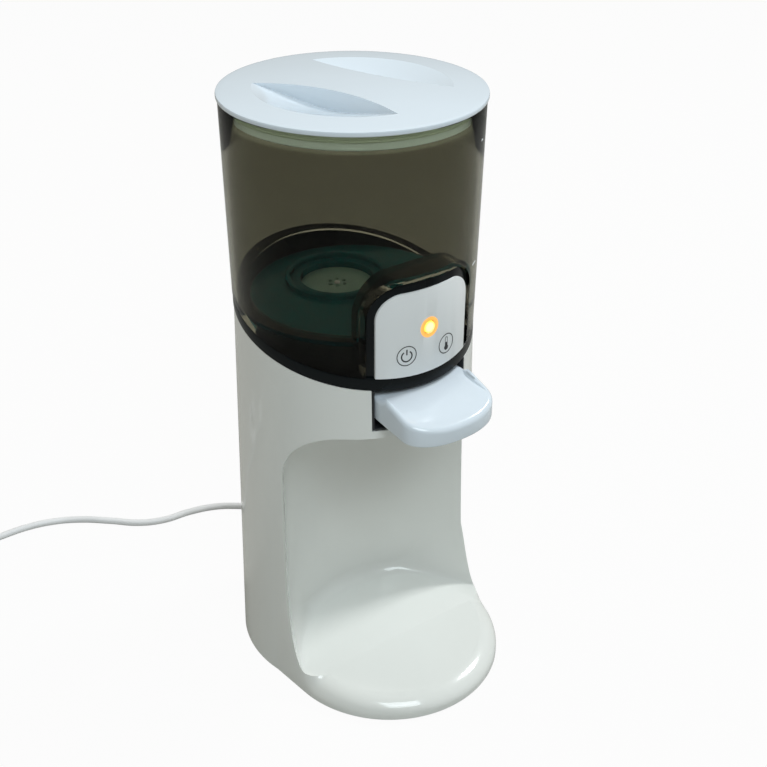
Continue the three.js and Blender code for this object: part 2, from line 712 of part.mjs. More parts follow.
// Lid: a shallow dome with two finger scoops and a ridge between them
const skirtRadius = tankTopRadius - tankWall - skirtGap;
const plateLow = tankTop + gap;
const scoopRadius = scoopShare * lidRadius;
const ridgeWaist = waistShare * lidRadius;
const ridgeEnd = ridgeEndShare * lidRadius;
function domeProfile(drop, edge, steps) {
  const profile = [[0, edge], [lidRadius - drop, edge]];
  for (let k = 0; k <= steps; k += 1) {
    const share = k / steps;
    profile.push([(lidRadius - drop) * (1 - share), lidTop - drop + lidDome * (1 - (1 - share) ** 2)]);
  }
  return profile;
}
function scoopPair(grow) {
  const rimZ = lidTop + lidDome * (1 - (scoopRadius / lidRadius) ** 2);
  const fall = scoopDepth / (scoopRadius - ridgeWaist);
  const depth = scoopRadius * fall;
  const reach = scoopRadius + grow;
  const high = lidTop + overrun;
  const dish = turned([[0, rimZ - depth - grow], [reach, rimZ - grow], [reach, high], [0, high]], 0, 0, 48);
  const half = Math.sqrt(scoopRadius ** 2 - ridgeEnd ** 2);
  const sag = ridgeEnd - ridgeWaist;
  const curve = (half ** 2 + sag ** 2) / (2 * sag);
  const sweep = Math.asin(half / curve);
  const side = new THREE.Shape();
  const waist = ridgeWaist - grow;
  const far = 2 * scoopRadius;
  side.moveTo(waist + sag, -half);
  side.absarc(waist + curve, 0, curve, Math.PI + sweep, Math.PI - sweep, true);
  side.lineTo(far, far);
  side.lineTo(far, -far);
  side.closePath();
  const scoop = plate(side, 0, 2 * tankTop, 8).intersect(dish);
  const other = new THREE.Shape(side.getPoints(8).map((p) => new THREE.Vector2(-p.x, p.y)));
  return scoop.add(plate(other, 0, 2 * tankTop).intersect(dish));
}
function turnedLid(solid) {
  const geometry = geometryOf(solid);
  geometry.rotateZ(lidTurn);
  return solidOf(geometry);
}
function lidSolid() {
  const bore = skirtRadius - lidWall;
  const under = turned(domeProfile(lidWall, plateLow - overrun, 1)).intersect(disc(bore, 0, 2 * tankTop));
  const dome = turned(domeProfile(0, plateLow, 4)).subtract(under);
  const skirt = ringOf(bore, skirtRadius, plateLow - skirtHeight, plateLow + gap, 0, roundSteps);
  const pockets = scoopPair(lidWall).intersect(disc(bore, 0, lidTop));
  return turnedLid(cut(joined(dome, skirt, pockets), scoopPair(0)));
}
piece('lid', lidSolid(), 0xe6ebee, 0.18);
const lidSealOuter = tankTopRadius - tankWall - gap;
const lidSealLow = plateLow - skirtHeight / 2;
piece('lid_seal', ringOf(skirtRadius + gap, lidSealOuter, lidSealLow, plateLow - gap, 0, 36), 0xdfe3e0, 0.7);

// Lever: the paddle outside the slot, an arm with a hub on the pin, and a roller under the push rod
const leverFrontY = -(leverReach - leverNose);
const leverTopAt = (y) => leverTop + leverFallShare * (y + rimRadius);
const leverUnderAt = (y) => mix(leverTop - leverRoot, leverNoseUnderside, (-rimRadius - y) / leverOut);
function paddleOutline(inset) {
  const half = leverHalf - inset;
  const nose = leverNose - inset;
  const steps = 14;
  const power = 2 / nosePower;
  const rearY = -rimRadius + linerDepth / 2;
  const points = [[half, rearY]];
  for (let k = 0; k <= steps; k += 1) {
    const turn = k / steps * Math.PI;
    const aside = Math.cos(turn);
    const x = half * Math.sign(aside) * Math.abs(aside) ** power;
    points.push([x, leverFrontY - nose * Math.sin(turn) ** power]);
  }
  points.push([-half, rearY]);
  return points.reverse();
}

// The paddle's top drops behind the slot's mouth, where it would meet the tower on its way up
const leverShoulder = 2 * mm;
const shoulderSlope = 4;
const leverInnerTopAt = (y) => {
  const shoulder = leverTop - leverShoulder + shoulderSlope * Math.max(0, -rimRadius - y);
  return Math.min(leverTopAt(y), shoulder);
};
function leverSolid() {
  const round = 2 * mm;
  const ring = (insetShare, heightAt) => paddleOutline(insetShare * round)
    .map(([x, y]) => new THREE.Vector3(x, y, heightAt(y)));
  const paddle = loft([
    ring(1.5, (y) => leverUnderAt(y)),
    ring(0.4, (y) => leverUnderAt(y) + 0.6 * round),
    ring(0, (y) => mix(leverUnderAt(y), leverTopAt(y), 0.45)),
    ring(0, (y) => leverInnerTopAt(y) - 0.7 * round),
    ring(0.4, (y) => leverInnerTopAt(y) - 0.2 * round),
    ring(1, (y) => leverInnerTopAt(y)),
  ]);
  const armFrontY = -rimRadius + linerDepth / 4;
  const armLow = pivotZ - armThickness / 2;
  const arm = block(-armHalf, armHalf, armFrontY, outletY, armLow, armLow + armThickness - 2 * mm);
  const hub = crossRod(hubRadius, -armHalf, armHalf, pivotY, pivotZ);
  const roller = crossRod(rollerRadius, -armHalf, armHalf, outletY, pivotZ);
  return cut(joined(paddle, arm, hub, roller), crossRod(pinRadius + pinGap, -widest, widest, pivotY, pivotZ));
}
piece('dispense_lever', leverSolid(), 0xe6edf2, 0.16);

// Liner of the lever's slot, and the cradle that holds the hinge pin
const linerRearY = -rimRadius + linerDepth;
function slotLiner() {
  const outerHalf = slotHalf - gap;
  const innerHalf = outerHalf - linerWall;
  const low = slotLow + gap;
  const inner = low + linerWall;
  const box = block(-outerHalf, outerHalf, -widest, linerRearY, low, rimHeight)
    .intersect(disc(radiusAt(slotLow) - gap, low, rimHeight)).intersect(belowTilt(rimHeight - gap));
  const room = block(-innerHalf, innerHalf, -widest, linerRearY - linerWall, inner, rimHeight + overrun);
  const windowHalf = armHalf + 2 * mm;
  const window = block(-windowHalf, windowHalf, -widest, widest, inner, pivotZ + armThickness);
  return cut(box, room, window);
}
piece('slot_liner', slotLiner(), 0x0b0c0d, 0.5);

const cradleFloor = bayTop + wall + 2 * gap;
const earThickness = 3 * mm;
const earInner = armHalf + gap;
const earOuter = earInner + earThickness;
function leverCradle() {
  const rear = pivotY + earHalf;
  const front = pivotY - earHalf;
  const floor = block(-earOuter, earOuter, front, rear, cradleFloor, cradleFloor + 2 * mm);
  const ears = block(-earOuter, earOuter, front, rear, cradleFloor, pivotZ + earHalf);
  const between = block(-earInner, earInner, front - gap, rear + gap, cradleFloor, tankTop);
  const pinHole = crossRod(pinRadius + gap, -widest, widest, pivotY, pivotZ);
  return cut(joined(floor, ears.subtract(between)), pinHole);
}
piece('lever_cradle', leverCradle(), 0x3a3d40, 0.45);
const pinHead = 1.2 * mm;
const pinHeadRadius = 3.2 * mm;
function hingePin() {
  const shoulder = earOuter + gap;
  const end = shoulder + pinHead;
  return joined(
    crossRod(pinRadius, -end, end, pivotY, pivotZ),
    crossRod(pinHeadRadius, shoulder, end, pivotY, pivotZ),
    crossRod(pinHeadRadius, -end, -shoulder, pivotY, pivotZ),
  );
}
piece('hinge_pin', hingePin(), 0xb9bdc2, 0.25, 1);
const leverSpringY = -rimRadius + linerDepth / 4;
const leverCoil = 3.4 * mm;
const leverWire = 0.3 * mm;
const leverSpringLow = slotLow + linerWall + 2 * gap;
const leverSpringHigh = leverUnderAt(leverSpringY) - gap;
piece('lever_spring', coilSpring(leverCoil, leverWire, leverSpringLow, leverSpringHigh, 2, leverSpringY),
  0xb8bcc0, 0.3, 1);

// Spout through the bay's ceiling, with its elbow inside the tower
const elbowZ = bayTop + wall + hoseRadius + 3 * gap;
const spoutArmEnd = spoutFlange + nippleLength;
function spout() {
  const tip = bayTop - spoutDrop;
  const flangeLow = bayTop + wall + gap;
  const profile = [
    [0, tip], [0.7 * spoutRadius, tip], [spoutRadius, tip + spoutTip], [spoutRadius, flangeLow],
    [spoutFlange, flangeLow], [spoutFlange, elbowZ - hoseRadius / 2],
    [hoseRadius, elbowZ + hoseRadius], [0, elbowZ + hoseRadius],
  ];
  const arm = crossRod(hoseRadius, 0, spoutArmEnd, spoutY, elbowZ, 12);
  const bore = disc(hoseRadius / 2, tip - overrun, elbowZ, 0, spoutY, 8);
  const armBore = crossRod(hoseRadius / 2, 0, spoutArmEnd + overrun, spoutY, elbowZ, 8);
  return cut(joined(turned(profile, 0, spoutY, 16), arm), bore, armBore);
}
piece('spout', spout(), 0xd7dbd6, 0.4);

// Heater with its cap, clamp, probe and cut-out
const heaterEnd = 2 * mm;
const nippleTop = heaterHigh + heaterEnd + nippleLength;
piece('heater_body', joined(
  disc(heaterRadius, heaterLow, heaterHigh, 0, heaterY, 24),
  disc(heaterRadius - 3 * mm, heaterLow - heaterEnd, heaterLow, 0, heaterY, 24),
), 0xb4b8bb, 0.35, 1);
function heaterCap() {
  const low = heaterHigh + gap;
  const body = disc(heaterRadius + 1 * mm, low, low + heaterEnd, 0, heaterY, 24);
  const stub = (side) => disc(hoseRadius, low, nippleTop, side * nippleSpread, heaterY, 12);
  return joined(body, stub(1), stub(-1));
}
piece('heater_cap', heaterCap(), 0x2b2e30, 0.5);
const clampRise = 28 * mm;
const clampHeight = 12 * mm;
const clampLow = heaterLow + clampRise;
const clampHigh = clampLow + clampHeight;
const clampWall = 1.6 * mm;
const clampHalf = 5 * mm;
function heaterClamp() {
  const inner = heaterRadius + gap;
  const band = ringOf(inner, inner + clampWall, clampLow, clampHigh, heaterY);
  const reach = radiusAt(clampHigh) - wall - gap;
  const foot = block(-clampHalf, clampHalf, heaterY + inner + clampWall / 2, widest, clampLow, clampHigh)
    .intersect(disc(reach, clampLow - overrun, clampHigh + overrun));
  return joined(band, foot);
}
piece('heater_clamp', heaterClamp(), 0x9a9ea2, 0.4, 1);
const probeRise = 12 * mm;
const probeRadius = 2.5 * mm;
const probeLength = 8.7 * mm;
const probeNutRadius = 4 * mm;
const probeNutLength = 3.7 * mm;
const probeZ = heaterLow + probeRise;
const heaterSide = heaterRadius + gap;
piece('temperature_probe', joined(
  crossRod(probeRadius, heaterSide, heaterSide + probeLength, heaterY, probeZ, 16),
  crossRod(probeNutRadius, heaterSide, heaterSide + probeNutLength, heaterY, probeZ, 6),
), 0xc2a15a, 0.35, 1);
const cutoutRadius = 7 * mm;
const cutoutLength = 4.7 * mm;
const tabLength = 2 * mm;
const tabHalf = 3 * mm;
const tabThickness = 2 * mm;
const cutoutOuter = heaterSide + cutoutLength;
const tabEnd = cutoutOuter + tabLength;
piece('thermal_cutout', joined(
  crossRod(cutoutRadius, -cutoutOuter, -heaterSide, heaterY, probeZ, 24),
  block(-tabEnd, -cutoutOuter, heaterY - tabHalf, heaterY + tabHalf, probeZ, probeZ + tabThickness),
), 0x55585b, 0.5);

// Hoses from the cup to the heater, and from the heater to the spout beside the lever's liner
const hoseRun = 2.5 * mm;
const feedDrop = cupNippleZ - nippleTop;
piece('feed_hose', barAlong([
  [0, cupNippleEnd + gap, cupNippleZ],
  [0, cupNippleEnd + hoseRun, cupNippleZ],
  [-0.2 * nippleSpread, mix(cupNippleEnd, heaterY, 0.67), cupNippleZ - 0.13 * feedDrop],
  [-0.77 * nippleSpread, heaterY, cupNippleZ - 0.7 * feedDrop],
  [-nippleSpread, heaterY, nippleTop + hoseRun],
  [-nippleSpread, heaterY, nippleTop + gap],
], hoseRadius, 12, 8), 0xd9d3c4, 0.5);
const hoseSide = slotHalf + hoseRadius;
const hoseFall = nippleTop - elbowZ;
piece('outlet_hose', barAlong([
  [nippleSpread, heaterY, nippleTop + gap],
  [nippleSpread, heaterY, nippleTop + hoseRun],
  [mix(nippleSpread, hoseSide, 0.16), heaterY - hoseRadius / 3, nippleTop + 2.3 * hoseRadius],
  [mix(nippleSpread, hoseSide, 0.55), mix(heaterY, outletY, 0.27), nippleTop + 2.6 * hoseRadius],
  [mix(nippleSpread, hoseSide, 0.91), outletY, nippleTop + hoseRadius / 3],
  [hoseSide, mix(outletY, spoutY, 0.48), elbowZ + 0.32 * hoseFall],
  [mix(spoutArmEnd, hoseSide, 0.75), mix(outletY, spoutY, 0.85), elbowZ + 0.06 * hoseFall],
  [mix(spoutArmEnd, hoseSide, 0.28), spoutY, elbowZ],
  [spoutArmEnd + gap, spoutY, elbowZ],
], hoseRadius, 20, 8), 0xd9d3c4, 0.5);

// Base plate with its board guides, the feet and the screws
const footToeInset = 20.7 * mm;
const footToeTurn = 34 * deg;
const footRearInset = 16.5 * mm;
const footRearTurn = 23.5 * deg;
const footPlaces = placesAt(footToeInset, footToeTurn, footRearInset, footRearTurn);
const footRadius = 6 * mm;
const footSeat = 1.2 * mm;
const screwHead = 2 * screwRadius;
const guideGrip = 3 * mm;
const guideHigh = 0.7 * boardHigh;
function basePlate() {
  const inset = wall + 2 * gap;
  const tuck = 0.7 * mm;
  const outline = [];
  for (let i = 0; i < outlineSteps; i += 1) {
    const share = i / outlineSteps;
    const [, flankY] = outlinePoint(share, inset, 0);
    outline.push(new THREE.Vector2(...outlinePoint(share, inset, tuck * smooth(cheekFrontY, 0, flankY))));
  }
  const floor = plate(new THREE.Shape(outline), shellLow, baseTop);
  const front = boardY - guideGrip;
  const rear = boardY + boardThickness + guideGrip;
  const outer = boardHalf + guideGrip;
  const inner = boardHalf - guideGrip;
  const guides = block(-outer, outer, front, rear, shellLow, guideHigh)
    .subtract(block(-inner, inner, front - gap, rear + gap, baseTop, guideHigh + overrun));
  const groove = block(-boardHalf - gap, boardHalf + gap, boardY - gap, boardY + boardThickness + gap,
    boardLow - gap, boardHigh + overrun);
  const feet = footPlaces.map(([x, y]) => disc(footRadius + gap, 0, shellLow + footSeat, x, y, 16));
  const holes = postPlaces.map(([x, y]) => disc(screwRadius + gap, 0, baseTop + overrun, x, y, 8));
  const sinks = postPlaces.map(([x, y]) => disc(screwHead + gap, 0, shellLow + footSeat, x, y, 12));
  const reliefRoom = lengthRod(reliefHole + 2 * mm, cordX, exitY - reliefLength, exitY + overrun, cordHeight);
  return cut(joined(floor, guides), groove, ...feet, ...holes, ...sinks, reliefRoom);
}
piece('base_plate', basePlate(), 0xd4d8d8, 0.45);
const cornerNames = ['front_right', 'rear_right', 'front_left', 'rear_left'];
footPlaces.forEach(([x, y], k) => {
  const foot = disc(footRadius, 0, shellLow + footSeat - gap, x, y, 16);
  piece(`rubber_foot_${cornerNames[k]}`, foot, 0x3b3d3e, 0.9);
});
postPlaces.forEach(([x, y], k) => {
  const headLow = shellLow + gap;
  const headTop = shellLow + footSeat - gap;
  const tip = baseTop + screwBite;
  const profile = [
    [0, headLow], [screwHead, headLow], [screwHead, headTop],
    [screwRadius, headTop], [screwRadius, tip], [0, tip],
  ];
  piece(`base_screw_${cornerNames[k]}`, turned(profile, x, y, 8), 0x8d9196, 0.3, 1);
});

// Main board with its parts, placed and sized by shares of the board's half width and height
const mainBoard = block(-boardHalf, boardHalf, boardY, boardY + boardThickness, boardLow, boardHigh);
piece('main_board', mainBoard, 0x1f6b41, 0.5);
const boardBack = boardY + boardThickness + gap;
const onBoard = (across, up) => [across * boardHalf, mix(boardLow, boardHigh, up)];
function boxPart(across, up, widthShare, heightShare, depthShare) {
  const [x, z] = onBoard(across, up);
  const halfWidth = widthShare * boardHalf / 2;
  const halfHeight = heightShare * boardHalf / 2;
  return block(x - halfWidth, x + halfWidth, boardBack, boardBack + depthShare * boardHalf,
    z - halfHeight, z + halfHeight);
}
function roundPart(across, up, radiusShare, depthShare) {
  const [x, z] = onBoard(across, up);
  return lengthRod(radiusShare * boardHalf, x, boardBack, boardBack + depthShare * boardHalf, z, 16);
}
piece('transformer', boxPart(-0.48, 0.2, 0.69, 0.69, 0.55), 0xc9b23a, 0.5);
piece('heater_relay', boxPart(0.41, 0.475, 0.55, 0.41, 0.41), 0x23262a, 0.4);
piece('smoothing_capacitor', roundPart(0.48, 0.225, 0.17, 0.48), 0x20242c, 0.4);
piece('buzzer', roundPart(-0.48, 0.65, 0.21, 0.24), 0x17191b, 0.5);
piece('wire_socket', boxPart(0.07, 0.825, 0.55, 0.28, 0.21), 0xe7e2d2, 0.5);

// Strain relief, cord, stored coil with its tie, and the plug
const reliefInside = 5 * mm;
const reliefLow = exitY - wall - reliefInside;
const reliefEnd = reliefLow + reliefLength;
const reliefLip = 1.5 * mm;
const reliefBarrel = 7 * mm;
const reliefLipLength = 2 * mm;
const reliefGrip = 0.6 * mm;
function strainRelief() {
  const lipEnd = reliefLow + reliefLipLength;
  const taperStart = lipEnd + reliefBarrel;
  const profile = [
    [0, reliefLow], [reliefRadius + reliefLip, reliefLow], [reliefRadius + reliefLip, lipEnd],
    [reliefRadius, lipEnd], [reliefRadius, taperStart], [cordRadius + reliefGrip, reliefEnd], [0, reliefEnd],
  ];
  const geometry = new THREE.LatheGeometry(profile.map(([r, y]) => new THREE.Vector2(r, y)), 16);
  geometry.translate(cordX, 0, cordHeight);
  return solidOf(geometry);
}
piece('strain_relief', strainRelief(), 0xe2e5e5, 0.5);

const coilPitch = 4.9 * mm;
const coilOuter = 31.2 * mm;
const layerTurns = 2.75;
const climbTurns = 0.5;
const coilInner = coilOuter - coilPitch * (layerTurns + climbTurns / 2);
const tieThickness = 0.8 * mm;
const coilLow = tieThickness + gap + cordRadius;
const coilX = -180 * mm;
const coilLineY = 196.9 * mm;
const coilY = coilLineY + coilOuter;
const cordEndX = coilX + 2 * cordRadius;
const tableZ = cordRadius + 0.1 * mm;
const cordPlaces = [
  [13.6, 97, 8.5], [12, 107, 6.6], [9, 117, 4.2], [4, 126.6, 2.9], [-4.6, 135.4, 2.3], [-15.3, 142.2, 2.3],
  [-32.1, 147.4, 2.3], [-50.5, 149.6, 2.3], [-65.2, 156.4, 2.3], [-80.1, 170.2, 2.3], [-95.5, 183.2, 2.3],
  [-112.7, 192.3, 2.3], [-128.8, 196.2, 2.3], [-145.8, 196.9, 2.3], [-160, 196.9, 2.5], [-171.2, 196.9, 3.2],
].map((place) => place.map((value) => value * mm));
const cordRoute = [
  [cordX, reliefEnd + gap, cordHeight],
  ...cordPlaces.map(([x, y, z]) => [x, y, Math.max(z, tableZ)]),
  [cordEndX + gap, coilLineY, coilLow],
];
piece('power_cord', barAlong(cordRoute, cordRadius, 26, 8), 0xeceeee, 0.45);

// The stored length: one tube that spirals in on the table and out again on top of itself
const coilTail = 30 * mm;
function coilPoints() {
  const steps = 24;
  const total = 2 * layerTurns + climbTurns;
  const points = [[cordEndX, coilLineY, coilLow]];
  for (let k = 0; k <= total * steps; k += 1) {
    const turn = k / steps;
    const climb = THREE.MathUtils.clamp((turn - layerTurns) / climbTurns, 0, 1);
    const radius = coilInner + coilPitch * Math.abs(turn - total / 2);
    const angle = -Math.PI / 2 - turn * 2 * Math.PI;
    const z = coilLow + coilPitch * smooth(0, 1, climb);
    points.push([coilX + radius * Math.cos(angle), coilY + radius * Math.sin(angle), z]);
  }
  const tailSteps = 3;
  for (let k = 1; k <= tailSteps; k += 1) {
    points.push([coilX - coilTail * k / tailSteps, coilLineY, coilLow + coilPitch]);
  }
  return points;
}
const coilRoute = coilPoints();
piece('cord_coil', barAlong(coilRoute, cordRadius, 150, 6), 0xeceeee, 0.45);

// Least clearance between stretches of a wound tube that are further along it than a few diameters
function leastGap(route, radius, samples, apart) {
  const curve = new THREE.CatmullRomCurve3(route.map((p) => new THREE.Vector3(...p)));
  const points = curve.getSpacedPoints(samples);
  const step = points[0].distanceTo(points[1]);
  let least = Infinity;
  points.forEach((p, i) => {
    for (let k = i + Math.ceil(apart / step); k < points.length; k += 1) {
      least = Math.min(least, p.distanceTo(points[k]));
    }
  });
  return least - 2 * radius;
}
const selfGap = leastGap(coilRoute, cordRadius, 600, 8 * cordRadius);
console.log('cord_coil least gap to itself:', selfGap.toFixed(2), 'mm');

const tieInner = coilInner + coilPitch / 2 - cordRadius - 2 * gap;
const tieOuter = coilOuter - coilPitch / 2 + cordRadius + 3 * gap;
const tieHalf = 3 * mm;
const tieTop = coilLow + coilPitch + cordRadius + 2 * gap;
piece('cord_tie', cut(
  block(coilX - tieHalf, coilX + tieHalf, coilY + tieInner - tieThickness, coilY + tieOuter + tieThickness,
    0, tieTop + tieThickness),
  block(coilX - 2 * tieHalf, coilX + 2 * tieHalf, coilY + tieInner, coilY + tieOuter, tieThickness, tieTop),
), 0x26292b, 0.6);

// Plug lying beside the coil, with its own tapered relief and two flat blades
const plugZ = coilLow + coilPitch;
const plugY = coilLineY;
const plugStart = coilX - coilTail - gap;
const plugRelief = 20 * mm;
const plugLength = 26 * mm;
const plugHalf = 12.5 * mm;
const bladeSpread = 6.35 * mm;
const bladeHalf = 3.2 * mm;
const bladeThickness = 1.5 * mm;
const bladeLength = 17 * mm;
const bladeRoot = 5 * mm;
const plugFace = plugStart - plugRelief - plugLength;
const plugSteps = 16;
const plugPower = 0.6;
function plugRing(x, halfY, halfZ) {
  const row = [];
  for (let k = 0; k < plugSteps; k += 1) {
    const angle = k / plugSteps * 2 * Math.PI;
    const across = Math.cos(angle);
    const up = Math.sin(angle);
    const y = plugY + halfY * Math.sign(across) * Math.abs(across) ** plugPower;
    const z = plugZ + halfZ * Math.sign(up) * Math.abs(up) ** plugPower;
    row.push(new THREE.Vector3(x, y, z));
  }
  return row;
}

// A box round one blade, from one x to another, grown by a clearance
function bladeBlock(side, x0, x1, grow) {
  const y = plugY + side * bladeSpread;
  const half = bladeThickness / 2 + grow;
  return block(x0, x1, y - half, y + half, plugZ - bladeHalf - grow, plugZ + bladeHalf + grow);
}
function plugBody() {
  const edge = 1 * mm;
  const neck = 2 * cordRadius;
  const grip = cordRadius + 0.5 * mm;
  const body = loft([
    plugRing(plugFace, plugHalf - edge, plugZ - edge),
    plugRing(plugFace + edge, plugHalf, plugZ),
    plugRing(plugFace + 0.7 * plugLength, plugHalf, plugZ),
    plugRing(plugFace + 0.9 * plugLength, 0.7 * plugHalf, 0.85 * plugZ),
    plugRing(plugFace + plugLength, neck, neck),
    plugRing(plugStart, grip, grip),
  ]);
  const slots = [1, -1].map((side) => bladeBlock(side, plugFace - edge, plugFace + bladeRoot + gap, gap));
  return cut(body, ...slots);
}
piece('plug_body', plugBody(), 0xeceeee, 0.45);
[['left', 1], ['right', -1]].forEach(([name, side]) => {
  const blade = bladeBlock(side, plugFace - bladeLength, plugFace + bladeRoot, 0);
  piece(`plug_blade_${name}`, blade, 0xc9b27a, 0.3, 1);
});

export default object;
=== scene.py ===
"""Instant bottle warmer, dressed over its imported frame.

Metres, +Z up, the front with the lever and the foot towards -Y. The tower's
axis stands a little behind the frame's origin, at TOWER_Y.
"""

import json
import logging
import math
from collections.abc import Callable, Sequence
from dataclasses import dataclass, field
from enum import Enum

import bmesh
import bpy
from mathutils import Matrix, Vector

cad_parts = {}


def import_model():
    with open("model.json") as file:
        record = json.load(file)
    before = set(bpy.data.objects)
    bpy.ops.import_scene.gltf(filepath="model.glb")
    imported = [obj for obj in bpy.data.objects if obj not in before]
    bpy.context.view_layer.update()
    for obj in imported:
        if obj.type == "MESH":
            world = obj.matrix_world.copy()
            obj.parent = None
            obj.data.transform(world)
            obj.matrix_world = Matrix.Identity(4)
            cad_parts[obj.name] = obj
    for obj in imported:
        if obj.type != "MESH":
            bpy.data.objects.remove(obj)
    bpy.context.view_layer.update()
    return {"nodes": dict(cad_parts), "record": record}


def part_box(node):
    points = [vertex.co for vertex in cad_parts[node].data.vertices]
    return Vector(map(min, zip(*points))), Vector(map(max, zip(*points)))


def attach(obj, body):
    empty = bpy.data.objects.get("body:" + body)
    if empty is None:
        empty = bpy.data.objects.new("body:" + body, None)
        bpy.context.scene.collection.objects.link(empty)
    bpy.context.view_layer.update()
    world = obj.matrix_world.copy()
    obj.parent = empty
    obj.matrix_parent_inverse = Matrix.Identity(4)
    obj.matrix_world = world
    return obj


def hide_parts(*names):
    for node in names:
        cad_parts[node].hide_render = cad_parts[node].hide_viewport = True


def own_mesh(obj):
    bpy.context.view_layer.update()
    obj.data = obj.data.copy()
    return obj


LOG = logging.getLogger("bottle_warmer")
MM = 0.001
TOWER_Y = 14.55 * MM
RIM_TILT = math.radians(14.5)
FULL_TURN = 2 * math.pi

# Sizes that several pieces share, in millimetres.
RIM_HEIGHT = 207.4
BASE_RADIUS = 66.7
RIM_RADIUS = 62.2
OUTLET_Y = 15.0075
SEAM = 0.3

# How near corners lie that are welded, in metres.
WELD = 1e-5
FINE_WELD = 1e-6

# The inputs and the output of a Mix node that mixes colours.
MIX_SHARE, MIX_LOW, MIX_HIGH, MIX_RESULT = 0, 6, 7, 2
# The range that most of a noise pattern's values lie in.
NOISE_RANGE = (0.3, 0.7)

Colour = tuple[float, float, float]
Point = tuple[float, float, float]
Corner = tuple[float, float]
HeightAt = Callable[[float], float]
Piece = bpy.types.Object
Tree = bpy.types.ShaderNodeTree
Socket = bpy.types.NodeSocket
Shader = bpy.types.Node


class Body(str, Enum):
    """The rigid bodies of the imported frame."""

    TOWER = "tower"
    TANK = "tank_unit"
    LID = "lid_unit"
    LEVER = "lever"
    ROD = "rod"
    PLUNGER = "plunger"


class Merge(Enum):
    """What a second solid does to a piece."""

    ADD = "UNION"
    CUT = "DIFFERENCE"
    SHARE = "INTERSECT"


def at(x: float, y: float, z: float) -> Vector:
    """A point given in millimetres from the tower's axis, in the frame's metres."""
    return Vector((x * MM, y * MM + TOWER_Y, z * MM))


def smooth_step(low: float, high: float, value: float) -> float:
    """Eases from 0 at low to 1 at high."""
    share = min(1.0, max(0.0, (value - low) / (high - low)))
    return share * share * (3 - 2 * share)


def mix(low: float, high: float, share: float) -> float:
    """The value that lies this share of the way from low to high."""
    return low + (high - low) * share


